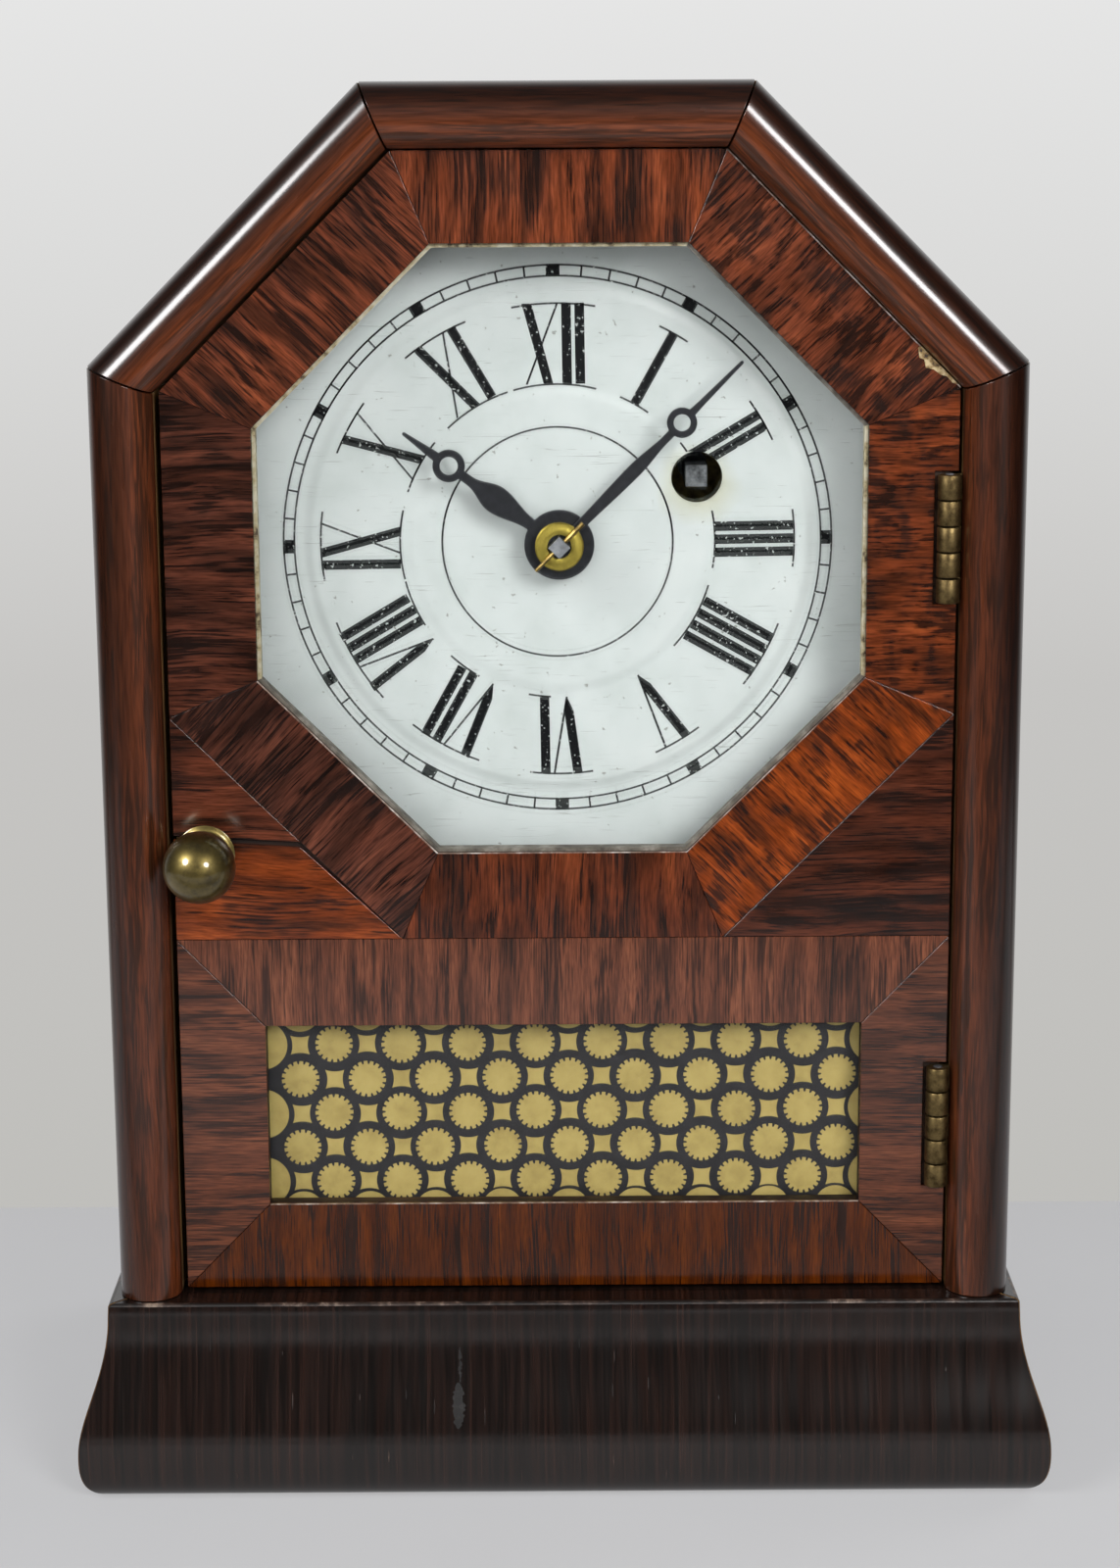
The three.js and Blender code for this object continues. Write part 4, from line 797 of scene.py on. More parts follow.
def ink_arc(radius, start, end, width, steps):
    for i in range(steps):
        a = start + (end - start) * i / steps
        b = start + (end - start) * (i + 1) / steps
        inner, outer = radius - width / 2, radius + width / 2
        corners = [on_ray(a, 0, inner), on_ray(b, 0, inner), on_ray(b, 0, outer), on_ray(a, 0, outer)]
        if all(math.dist(corner, KEY_HOLE) > KEY_HOLE_RADIUS for corner in corners):
            ink_patch(corners)


numerals = ["XII", "I", "II", "III", "IIII", "V", "VI", "VII", "VIII", "IX", "X", "XI"]
widths = {"I": I_PITCH, "V": V_WIDTH, "X": X_WIDTH}
for hour, numeral in enumerate(numerals):
    angle = math.radians(30 * hour) - DIAL_TURN
    x = -sum(widths[letter] for letter in numeral) / 2
    last_x = -x
    for letter in numeral:
        left, right = x, x + widths[letter]
        middle = (left + right) / 2
        if letter == "I":
            ink_stroke(angle, (middle, NUMERAL_FOOT), (middle, NUMERAL_HEAD), THICK)
        elif letter == "V":
            foot = (middle, NUMERAL_FOOT)
            ink_stroke(angle, foot, (left + V_HEAD, NUMERAL_HEAD), THICK, point=V_POINT)
            ink_stroke(angle, foot, (right - THIN, NUMERAL_HEAD), THIN)
        else:
            ink_stroke(angle, (right - X_FOOT, NUMERAL_FOOT), (left + X_HEAD, NUMERAL_HEAD), THICK)
            ink_stroke(angle, (left + X_THIN_FOOT, NUMERAL_FOOT), (right - THIN, NUMERAL_HEAD), THIN)
        x = right
    head_reach = (-last_x - OVERHANG, last_x + OVERHANG)
    ink_arc(NUMERAL_HEAD, *(angle + reach / NUMERAL_HEAD for reach in head_reach), HAIRLINE, 8)
    if numeral != "V":
        foot_start = V_WIDTH - last_x if numeral[0] == "V" else -last_x - OVERHANG
        foot_reach = (foot_start, last_x + OVERHANG)
        ink_arc(NUMERAL_FOOT, *(angle + reach / NUMERAL_FOOT for reach in foot_reach), HAIRLINE, 24)
for radius, steps in ((TRACK_OUTER, 180), (TRACK_INNER, 180), (MIDDLE_CIRCLE, 120)):
    ink_arc(radius, 0, 2 * math.pi, HAIRLINE, steps)
for minute in range(60):
    angle = math.radians(6 * minute) - DIAL_TURN
    width, past = MINUTE_TICK if minute % 5 else HOUR_BLOCK
    ink_stroke(angle, (0, TRACK_INNER - past), (0, TRACK_OUTER + past), width)
build("dial_printing", ink_points, ink_faces, [ink], "case", "black_steel", place=dial_place)

# Hands
# Stamped from thin sheet iron and blackened. The hour hand is pressed on its pipe, the minute hand sits on
# the squared arbor under a brass washer, and a taper pin through the arbor holds them.
HAND_SHEET = 0.7
HOUR_LEAD = math.radians(306)  # the angles of the hands from twelve, at rest
MINUTE_LEAD = math.radians(45)
PIPE_HOLE = 2.96
SQUARE_HOLE = 1.4  # half its side
PIERCING = 0.56  # the hole in a hand's ring, as a share of its radius
# Sheet iron blued and oiled until it is nearly black, a little shiny in patches.
blackened_iron, iron_tree, iron_shader, _ = mottled(
    "blackened_iron", 1.6, [(0.35, "#101116"), (0.7, "#24262c")], (0.5, 0.36), detail=4.0
)
feed(iron_tree, iron_shader, {"Metallic": 0.3})


def hand_rim(right_side, hub, hub_steps=40):
    """The outline of a hand that points at twelve: its right edge from the hub out, mirrored, and the hub."""
    left_side = [(-x, z) for x, z in reversed(right_side)]
    start = math.atan2(right_side[0][0], right_side[0][1])
    round_hub = 2 * math.pi - 2 * start
    hub_angles = [2 * math.pi - start - round_hub * i / hub_steps for i in range(1, hub_steps)]
    return right_side + left_side + [(hub * math.sin(a), hub * math.cos(a)) for a in hub_angles]


def ringed_blade(length, hub, root, swell, swell_at, neck, ring, ring_at):
    """The right edge of a blade that swells, narrows, opens into a pierced ring and runs out to a point."""
    start = math.sqrt(hub * hub - root * root)
    bends = [(root, start), (swell, swell_at), (neck, ring_at - ring - 1.5)]
    edge = bends[:1]
    for (wide, low), (next_wide, high) in zip(bends, bends[1:]):
        edge += [
            (wide + (next_wide - wide) * math.sin(math.pi / 2 * i / 8) ** 2, low + (high - low) * i / 8)
            for i in range(1, 9)
        ]
    opening = math.asin(neck / ring)
    edge += [
        (ring * math.sin(a), ring_at - ring * math.cos(a))
        for a in (opening + (math.pi - 2 * opening) * i / 16 for i in range(17))
    ]
    edge += [(neck * 0.8, ring_at + ring + 2.0), (0.28, length - 0.3), (0.12, length)]
    return edge


def set_hand(name, node, lead, hole, body, hub, ring, ring_at, **blade):
    front = (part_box(node)[0].y - DOOR_FACE) / MM
    turn = Matrix.Rotation(-lead, 2)
    edge = ringed_blade(hub=hub, ring=ring, ring_at=ring_at, **blade)
    loops = [hand_rim(edge, hub), hole, ring_points(ring * PIERCING, 28, 0, ring_at)]
    rim, *holes = [[tuple(turn @ Vector(p) + Vector((0, DIAL_Z))) for p in loop] for loop in loops]
    plate(
        name, rim, front, front + HAND_SHEET, [blackened_iron], holes=holes, body=body,
        finish="black_steel", bevel=0.12, nodes=[node],
    )


square_hole = [(SQUARE_HOLE * x, SQUARE_HOLE * z) for x, z in ((1, 1), (1, -1), (-1, -1), (-1, 1))]
set_hand(
    "hour_blade", "hour_hand", HOUR_LEAD, ring_points(PIPE_HOLE, 32), "hour_pipe",
    length=32, hub=5.85, root=1.0, swell=2.3, swell_at=13, neck=0.8, ring=2.7, ring_at=22.6,
)
set_hand(
    "minute_blade", "minute_hand", MINUTE_LEAD, square_hole, "minute_arbor",
    length=43, hub=3.3, root=0.8, swell=1.15, swell_at=18, neck=0.65, ring=2.5, ring_at=28.8,
)

# Turned brass washer, yellower than the works because it has been cleaned by hand. The pin is dull.
bright_brass = worn_metal("handled_brass", "#b7a44c", "#8d7c38", 0.34, 1.8, share=0.38)
washer_low, washer_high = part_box("hand_washer")
washer_front = (washer_low.y - DOOR_FACE) / MM
washer_back = (washer_high.y - DOOR_FACE) / MM
washer_radius = (washer_high.x - washer_low.x) / 2 / MM
WASHER_HOLE = 2.0
washer_profile = [
    (WASHER_HOLE, washer_front + 0.08), (2.25, washer_front), (3.0, washer_front), (3.2, washer_front + 0.06),
    (washer_radius - 0.25, washer_front + 0.06), (washer_radius, washer_front + 0.26),
    (washer_radius, washer_back), (WASHER_HOLE, washer_back), (WASHER_HOLE, washer_front + 0.08),
]
lathe(
    "washer_of_hands", washer_profile, at(0, 0, DIAL_Z), [bright_brass], sides=72, body="minute_arbor",
    finish="brass", nodes=["hand_washer"], smooth=30,
)
dress(old_brass, "hand_pin")

# Door core
# A pine frame with one eight-sided and one oblong opening, rebated at the back for the glass. Its edges are
# stained dark, and the narrow lips in front of the eight-sided glass are old putty.
DOOR_X = 0.2
DOOR_Z = 161.6
DOOR_HALF = 65.0
DOOR_BOTTOM = 34.6
OPENING = 50.2
TABLET_HALF = 50.4
TABLET_BOTTOM = 49.7
TABLET_TOP = 81.4
VENEER = 0.9
LIP = 0.6
GLASS_FRONT = (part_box("door_glass")[0].y - DOOR_FACE) / MM
# Pine under a thin brown stain, dull, with the grain still showing.
stained_pine = polished_wood(
    "stained_pine",
    [(0.30, "#1a100b"), (0.46, "#2b1a11"), (0.60, "#3b2618"), (0.78, "#513824")],
    figure=(90, 5), dashes=(20, 0.8), gathering=(50, 4), bars=(70, 3), pores=(14, 0.5), sway=0.8,
    polish=0.55, shine=0.25,
)
dress(stained_pine, "door_frame")
leaf_shade(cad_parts["door_frame"].data)


def putty_material(name, stops):
    material, tree, shader, cloud = mottled(name, 3.0, stops, 0.6, grain=0.65)
    relief = add_node(tree, "Bump", {"Height": cloud, "Strength": 0.4, "Distance": 0.2 * MM})
    feed(tree, shader, {"Normal": relief})
    return material


# Putty gone grey with dust, on the sides of the opening that catch it.
grey_putty = putty_material("dusty_putty", [(0.32, "#453f37"), (0.5, "#6d675b"), (0.68, "#9a958a")])
# The rest of it has yellowed, with dark gaps where it has dropped out.
yellow_putty = putty_material("yellowed_putty", [(0.36, "#4e3f27"), (0.46, "#b3a57d"), (0.6, "#d2ccb2")])


def octagon_corners(apothem):
    side = apothem * EIGHTH
    return [
        (DOOR_X + x, DOOR_Z + z)
        for x, z in (
            (apothem, -side), (apothem, side), (side, apothem), (-side, apothem),
            (-apothem, side), (-apothem, -side), (-side, -apothem), (side, -apothem),
        )
    ]


octagon_lip = plate(
    "octagon_lip", octagon_corners(OPENING), VENEER + 0.02, GLASS_FRONT - 0.05, [grey_putty, yellow_putty],
    holes=[octagon_corners(OPENING - LIP)], body="door", finish="softwood", smooth=20,
)
for face in octagon_lip.data.polygons:
    across, up, _ = face.center / MM
    if up > -OPENING / 2 and (across < OPENING / 2 or up < OPENING / 2):
        face.material_index = 1

# Veneer leaves
# Fifteen leaves of rosewood veneer glued on the core, mitred to each other: eight round the dial with the
# grain pointing at its middle, three in the lower corners with level grain, four round the tablet.
rosewood_colours = [(0.30, "#30170d"), (0.43, "#5d2d18"), (0.55, "#853e1f"), (0.72, "#aa5329")]
# Cut across a curl in the log: short black dashes that crowd together in bands across the grain.
curled_rosewood = polished_wood(
    "curled_rosewood_veneer", rosewood_colours,
    figure=(18, 3.6), dashes=(9, 0.55), gathering=(4.5, 9.0), bars=(9, 3.4), pores=(3.4, 0.3), sway=1.2,
    polish=0.16, shine=0.56, soot="#1c110c",
)
# Cut from the straight part: long fine lines, with broader black streaks here and there.
straight_rosewood = polished_wood(
    "straight_rosewood_veneer", rosewood_colours,
    figure=(28, 3.4), dashes=(15, 0.46), gathering=(13, 5.5), bars=(20, 3.2), pores=(3.6, 0.28), sway=1.4,
    polish=0.16, shine=0.56, soot="#1c110c",
)
# Cut on the quarter: an even red-brown with fine dark lines.
plain_rosewood = polished_wood(
    "plain_rosewood_veneer", [(0.30, "#4e2612"), (0.43, "#663218"), (0.55, "#793d1e"), (0.72, "#8c4a26")],
    figure=(40, 2.4), dashes=(12, 0.32), gathering=(16, 3.0), bars=(30, 2.0), pores=(4.0, 0.24), sway=0.8,
    polish=0.16, shine=0.56, soot="#22130d",
)
WORN_HIGHLIT_LAYER = (-0.03, 0.25)  # from just proud of the veneer to inside it, and so for the splinter
CHIP_LAYER = (-0.05, 0.3)
JOINT = 0.04  # half the glue line that shows between two leaves
NEXT_CUT = Vector((137.0, 61.0))  # how far apart in the wood the leaves are cut
HINGE_MIDDLES = [163.9, 63.4]
HINGE_LENGTH = 21.3
HINGE_CUT_X = 61.3
HINGE_ROOM = 0.3
leaves_made = []


def shrunk(corners, by):
    """The outline drawn in by the glue line on every side."""
    points = [Vector(p) for p in corners]
    area = sum(a.x * b.y - b.x * a.y for a, b in zip(points, points[1:] + points[:1]))
    if area < 0:
        points.reverse()
    found = []
    for i, p in enumerate(points):
        before = (p - points[i - 1]).normalized()
        after = (points[(i + 1) % len(points)] - p).normalized()
        inward = Vector((-before.y, before.x)) + Vector((-after.y, after.x))
        found.append(p + inward * by / (1 + before.dot(after)))
    return found


def veneer_leaf(name, corners, grain, shift, saturation, value, bars, wood=straight_rosewood):
    leaf = plate(
        name, shrunk(corners, JOINT), 0, VENEER, [wood], grain=grain, sheet=NEXT_CUT * len(leaves_made),
        body="door", finish="rosewood", bevel=0.1,
    )
    leaf_shade(leaf.data, shift, saturation, value, bars)
    leaves_made.append(leaf)


def hinge_notch(middle):
    """The corners of the cut for a hinge in the right edge of the door, from the bottom up."""
    top = middle + HINGE_LENGTH / 2 + HINGE_ROOM
    bottom = middle - HINGE_LENGTH / 2 - HINGE_ROOM
    edge = DOOR_X + DOOR_HALF
    return [(edge, bottom), (HINGE_CUT_X, bottom), (HINGE_CUT_X, top), (edge, top)]


inner_corners = octagon_corners(OPENING)
outer_corners = octagon_corners(DOOR_HALF)
segment_shades = {
    "right": (0.03, 1.0, 0.74, 0.05, curled_rosewood),
    "upper_right": (0.02, 0.97, 0.74, 0.06, curled_rosewood),
    "top": (0.03, 1.0, 0.84, -0.06), "upper_left": (0.0, 0.98, 0.84, 0.04),
    "left": (-0.02, 0.92, 0.46, 0.04), "lower_left": (-0.03, 0.88, 0.46, 0.03),
    "bottom": (0.0, 0.98, 0.54, -0.06),
    "lower_right": (0.05, 1.03, 1.0, -0.01, curled_rosewood),
}
for i, (side, shade) in enumerate(segment_shades.items()):
    j = (i + 1) % 8
    notch = hinge_notch(HINGE_MIDDLES[0]) if side == "right" else []
    corners = [inner_corners[i], outer_corners[i], *notch, outer_corners[j], inner_corners[j]]
    veneer_leaf(f"leaf_{side}", corners, math.radians(45 * i), *shade)

CORNER_SPLIT = 113.4  # the left corner is in two pieces, with a crack along the grain between them
door_left, door_right = DOOR_X - DOOR_HALF, DOOR_X + DOOR_HALF
rail_z = DOOR_Z - DOOR_HALF
side_z = DOOR_Z - DOOR_HALF * EIGHTH
side_x = DOOR_HALF * EIGHTH
split_x = DOOR_X - side_x - (CORNER_SPLIT - rail_z)
tablet_sw, tablet_se = (DOOR_X - TABLET_HALF, TABLET_BOTTOM), (DOOR_X + TABLET_HALF, TABLET_BOTTOM)
tablet_ne, tablet_nw = (DOOR_X + TABLET_HALF, TABLET_TOP), (DOOR_X - TABLET_HALF, TABLET_TOP)
lower_leaves = [
    ("corner_left",
     [(door_left, rail_z), (DOOR_X - side_x, rail_z), (split_x, CORNER_SPLIT - 0.9),
      (door_left, CORNER_SPLIT + 0.6)],
     0.0, 0.04, 1.02, 0.86, -0.26),
    ("corner_left_upper", [(door_left, CORNER_SPLIT + 1.2), (split_x, CORNER_SPLIT), (door_left, side_z)],
     0.0, -0.03, 0.94, 0.52, -0.02),
    ("corner_right", [(DOOR_X + side_x, rail_z), (door_right, rail_z), (door_right, side_z)],
     math.pi, 0.0, 0.94, 0.38, -0.1),
    ("rail_top", [(door_left, rail_z), (door_right, rail_z), tablet_ne, tablet_nw],
     math.pi / 2, 0.0, 0.92, 0.94, -0.14, plain_rosewood),
    ("rail_bottom", [(door_left, DOOR_BOTTOM), (door_right, DOOR_BOTTOM), tablet_se, tablet_sw],
     math.pi / 2, 0.0, 1.1, 0.46, -0.03, plain_rosewood),
    ("stile_left", [(door_left, DOOR_BOTTOM), tablet_sw, tablet_nw, (door_left, rail_z)],
     0.0, 0.0, 0.94, 0.86, -0.13, plain_rosewood),
    ("stile_right",
     [tablet_se, (door_right, DOOR_BOTTOM), *hinge_notch(HINGE_MIDDLES[1]), (door_right, rail_z), tablet_ne],
     math.pi, 0.0, 0.94, 0.66, -0.1, plain_rosewood),
]
for name, *cut in lower_leaves:
    veneer_leaf(f"leaf_{name}", *cut)
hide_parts("door_veneer")

# Edges of the leaves that face the lamps, as pale strips in broken stretches: partly rubbed down to bare
# wood, partly a painted highlight where the edge catches the light.
worn_highlit_veneer = mottled(
    "bare_and_highlit_veneer_edge", 6.0, [(0.38, "#3a2419"), (0.5, "#937a6a"), (0.62, "#e2d8d0")], 0.4, grain=0.7
)[0]
edges_worn_and_highlit = [  # each with its width, which lies to the left of its direction
    ("upper_right", outer_corners[1], outer_corners[2], 0.22),
    ("lower_left", inner_corners[6], inner_corners[5], 0.2),
    ("bottom", inner_corners[7], inner_corners[6], 0.16),
    ("lower_right", inner_corners[0], inner_corners[7], 0.16),
    ("tablet", tablet_se, tablet_sw, 0.14),
]
# Each strip is bare wood and painted highlight together.
for name, start, end, width in edges_worn_and_highlit:
    a, b = Vector(start), Vector(end)
    side = Vector((a.y - b.y, b.x - a.x)).normalized() * width
    plate(
        f"worn_highlit_edge_{name}", [a, b, b + side, a + side], *WORN_HIGHLIT_LAYER, [worn_highlit_veneer], body="door",
        finish="rosewood",
    )

# Pine laid bare where a splinter of veneer has broken off: straw-yellow with dark fibres.
splintered_pine = mottled(
    "splintered_pine", 1.2, [(0.38, "#3f2c1c"), (0.48, "#a5854f"), (0.6, "#d9c394")], 0.7, detail=4.0
)[0]
CHIP_LENGTH = 9.5
chip_along = (Vector(outer_corners[2]) - Vector(outer_corners[1])).normalized()
chip_in = Vector((-chip_along.y, chip_along.x))
chip_rim = [
    Vector(outer_corners[1]) + chip_along * CHIP_LENGTH * share + chip_in * depth
    for share, depth in (
        (0.05, 0.0), (0.98, 0.0), (1.0, 0.5), (0.86, 1.5), (0.78, 1.15), (0.66, 1.9), (0.55, 1.2), (0.4, 1.0),
        (0.3, 0.45), (0.16, 0.55),
    )
]
plate("splintered_corner", chip_rim, *CHIP_LAYER, [splintered_pine], body="door", finish="softwood")

# Glass
# Two panes of old drawn window glass, one eight-sided and one oblong, slightly green and not quite flat. They
# are puttied into the rebates at the back of the core.
glass, glass_tree, glass_shader = new_material("old_window_glass")
glass_place = add_node(glass_tree, "TexCoord", output="Object")
glass_wave = add_node(glass_tree, "TexNoise", {"Vector": glass_place, "Scale": 1 / (25 * MM)})
glass_relief = add_node(glass_tree, "Bump", {"Height": glass_wave, "Strength": 0.15, "Distance": 0.3 * MM})
feed(glass_tree, glass_shader, {
    "Base Color": linear("#e9f3ef"), "Roughness": 0.03, "IOR": 1.5, "Transmission Weight": 1.0, "Alpha": 0.07,
    "Normal": glass_relief,
})
dress(glass, "door_glass", "tablet_glass")

# Tablet picture
# Painted and gilded on the back of the oblong glass: a lattice of toothed gold discs, each in a black ring,
# with what is left between four rings showing as a small gold square with hollow sides.
CELL_X = 5.74
CELL_Z = 6.14
LATTICE_LEFT = DOOR_X - TABLET_HALF - 0.4
LATTICE_TOP = 76.6
LATTICE_TILT = 0.006  # the painter's rows rise a little to the right
LAST_COLUMN = 18
SHAKE = 0.12
DISC = 3.28
TEETH = 18
TOOTH = 0.55
RING_LEVEL = 4.44  # how far a ring reaches towards the squares beside it
RING_UPRIGHT = 4.76  # and towards those above and below
SQUARE_CORNER = 1.66
SIDE_DISC = 4.4
SIDE_SHIFT = 0.8  # how far the cut-off discs at both sides are moved out
END_DISC = 3.5
END_SHIFT = {-1: -0.2, 5: 0.8}  # how far the cut-off rows at top and bottom are moved up
GLASS_MARGIN = 2.6
GOLD_LAYER = (0.04, 0.1)  # where the gold, and then the black, lie behind the glass
BLACK_LAYER = (0.12, 0.3)
PICTURE_DEPTH = (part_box("tablet_glass")[1].y - DOOR_FACE) / MM

# Gold leaf seen through the glass: matt, slightly green, a little darker in clouds.
gilding = mottled(
    "gold_leaf_under_glass", 4.0, [(0.3, "#a48e4c"), (0.5, "#b59f59"), (0.7, "#bea862")], 0.55, grain=0.65
)[0]
# Black oil paint behind the gold, gone slightly grey.
black_paint = mottled("black_paint_under_glass", 2.5, [(0.35, "#1a191c"), (0.7, "#28262a")], 0.45)[0]

picture_left, picture_right = DOOR_X - TABLET_HALF - GLASS_MARGIN, DOOR_X + TABLET_HALF + GLASS_MARGIN
picture_bottom, picture_top = TABLET_BOTTOM - GLASS_MARGIN, TABLET_TOP + GLASS_MARGIN
plate(
    "tablet_ground",
    [(picture_left, picture_bottom), (picture_right, picture_bottom), (picture_right, picture_top),
     (picture_left, picture_top)],
    *(PICTURE_DEPTH + behind for behind in BLACK_LAYER), [black_paint], body="door", finish="painted_glass",
)

hand_shake = random.Random(7)
gold_points, gold_faces = [], []


def gold_patch(corners):
    """A patch of gold on the back of the glass, trimmed to the glass."""
    trimmed = [
        (min(max(x, picture_left), picture_right), min(max(z, picture_bottom), picture_top))
        for x, z in corners
    ]
    slab = [at(x, PICTURE_DEPTH + behind, z) for behind in GOLD_LAYER for x, z in trimmed]
    add_slab(gold_points, gold_faces, slab)


def toothed_disc(x, z, radius):
    corners = []
    start = hand_shake.uniform(0, 1)
    for i in range(TEETH):
        for share, reach in ((0.0, radius), (0.56, radius), (0.64, radius - TOOTH), (0.92, radius - TOOTH)):
            angle = 2 * math.pi * (i + start + share) / TEETH
            corners.append((x + reach * math.sin(angle), z + reach * math.cos(angle)))
    return corners


def hollow_square(x, z):
    """What is left between the rings of the four neighbouring discs."""
    corners = []
    neighbours = (
        (0, 1, CELL_Z, RING_UPRIGHT), (1, 0, CELL_X, RING_LEVEL),
        (0, -1, CELL_Z, RING_UPRIGHT), (-1, 0, CELL_X, RING_LEVEL),
    )
    for towards_x, towards_z, cell, ring in neighbours:
        centre = (x + towards_x * cell, z + towards_z * cell)
        facing = math.atan2(-towards_x, -towards_z)
        spread = math.asin(SQUARE_CORNER / ring)
        corners += [
            (centre[0] + ring * math.sin(facing + s), centre[1] + ring * math.cos(facing + s))
            for s in (spread * (1 - 2 * k / 6) for k in range(7))
        ]
    return corners


for row in range(-1, 6):
    for column in range(LAST_COLUMN + 1):
        x = LATTICE_LEFT + CELL_X * column + hand_shake.uniform(-SHAKE, SHAKE)
        z = LATTICE_TOP - CELL_Z * row + hand_shake.uniform(-SHAKE, SHAKE)
        z += LATTICE_TILT * CELL_X * column
        if (row + column) % 2 == 0:
            if row in END_SHIFT:
                gold_patch([(x + p, z + END_SHIFT[row] + q) for p, q in ring_points(END_DISC, 40)])
            elif column in (0, LAST_COLUMN):
                cut_x = x + (SIDE_SHIFT if column else -SIDE_SHIFT)
                gold_patch([(cut_x + p, z + q) for p, q in ring_points(SIDE_DISC, 40)])
            else:
                gold_patch(toothed_disc(x, z, DISC + hand_shake.uniform(-0.12, 0.1)))
        elif row not in END_SHIFT and 0 < column < LAST_COLUMN:
            gold_patch(hollow_square(x, z))
build("tablet_gilding", gold_points, gold_faces, [gilding], "door", "painted_glass", smooth=20)

# Hinges
# Two small butt hinges of rolled brass, each with five knuckles round a steel pin. The leaves are let into
# the edges of the door and the case, so that only the barrels stand proud.
HINGE_X = 63.6
HINGE_Y = -1.0
BARREL = 1.95
BORE = 0.85
KNUCKLES = 5
KNUCKLE_GAP = 0.08
KNUCKLE_SIDES = 40
LEAF_SHEET = 0.6
LEAF_BACK = 7.9
# Rolled brass gone brown, with a dull shine along the barrels.
hinge_brass = worn_metal("browned_brass", "#7f6c47", "#453823", 0.4, 1.6)


def knuckle_rings(first, middle):
    """The rounded knuckles of one leaf, as rings of (height, radius) from bottom to top."""
    pitch = HINGE_LENGTH / KNUCKLES
    for i in range(first, KNUCKLES, 2):
        low = middle - HINGE_LENGTH / 2 + i * pitch + KNUCKLE_GAP
        high = low + pitch - 2 * KNUCKLE_GAP
        yield [(low, BORE), (low, BARREL - 0.3), (low + 0.1, BARREL - 0.08), (low + 0.3, BARREL),
               (high - 0.3, BARREL), (high - 0.1, BARREL - 0.08), (high, BARREL - 0.3), (high, BORE)]


def hinge_piece(name, node, first, middle, sheet_x, tab_front, body):
    """One half of a hinge: every second knuckle, each on its strip of the leaf."""
    points, faces = [], []
    for rings in knuckle_rings(first, middle):
        start = len(points)
        points += [
            at(HINGE_X + radius * p, HINGE_Y + radius * q, z)
            for z, radius in rings
            for q, p in ring_points(1.0, KNUCKLE_SIDES)
        ]
        for k in range(len(rings)):
            below, above = start + k * KNUCKLE_SIDES, start + ((k + 1) % len(rings)) * KNUCKLE_SIDES
            for i in range(KNUCKLE_SIDES):
                j = (i + 1) % KNUCKLE_SIDES
                faces.append((below + i, below + j, above + j, above + i))
        low, high = rings[0][0], rings[-1][0]
        tab = len(points)
        for x in (sheet_x, sheet_x + LEAF_SHEET):
            for depth in (tab_front, LEAF_BACK):
                points += [at(x, depth, low), at(x, depth, high)]
        a, b, c, d, e, f, g, h = range(tab, tab + 8)
        faces += [(a, b, d, c), (e, f, h, g), (a, b, f, e), (c, d, h, g), (a, c, g, e), (b, d, h, f)]
    build(name, points, faces, [hinge_brass], body, "brass", smooth=40, nodes=[node])


hinge_halves = {  # the first knuckle of each half, where its leaf lies across the door and where it starts
    "case": (0, 65.05, -0.6), "door": (1, 64.2, 0.35),
}
for level, middle in zip(("upper", "lower"), HINGE_MIDDLES):
    for body, (first, sheet_x, tab_front) in hinge_halves.items():
        name, node = f"{level}_hinge_of_{body}", f"hinge_{level}_{body}_leaf"
        hinge_piece(name, node, first, middle, sheet_x, tab_front, body)

# Knob
# A cast and turned brass ball on a short neck, brown with handling. Its stem goes through the door to a
# brass tongue that turns behind the keeper on the case.
KNOB = at(-59.5, 0, 111.4)
KNOB_RADIUS = 6.0
KNOB_FRONT = (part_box("door_knob")[0].y - DOOR_FACE) / MM
BALL_ENDS = 2.6  # the angle, from the front, at which the ball runs into its neck
STEM = 1.6
STEM_END = 13.9
# Cast brass with a brown skin, bright where fingers and lacquer have kept it.
handled_knob = worn_metal("handled_cast_brass", "#857543", "#4f4529", 0.36, 3.4, share=0.52, lacquer=0.7)
ball = KNOB_FRONT + KNOB_RADIUS
knob_profile = [(0, KNOB_FRONT)]
knob_profile += [
    (KNOB_RADIUS * math.sin(a), ball - KNOB_RADIUS * math.cos(a))
    for a in (BALL_ENDS * i / 30 for i in range(1, 31))
]
knob_profile += [(2.75, -3.2), (2.7, -2.8), (2.9, -2.4), (3.4, -2.1), (3.6, -1.8), (3.6, -1.4)]
knob_profile += [(STEM, -1.4), (STEM, STEM_END), (0, STEM_END)]
lathe("door_ball_knob", knob_profile, KNOB, [handled_knob], body="knob", finish="brass", nodes=["door_knob"])

rosette_profile = [
    (1.7, -1.0), (3.2, -1.0), (3.6, -0.8), (4.0, -0.9), (4.5, -0.8), (4.8, -0.5), (5.0, -0.4), (5.0, -0.1),
    (1.7, -0.1), (1.7, -1.0),
]
lathe(
    "door_knob_rosette", rosette_profile, KNOB, [handled_knob], body="door", finish="brass",
    nodes=["knob_rosette"], smooth=45,
)

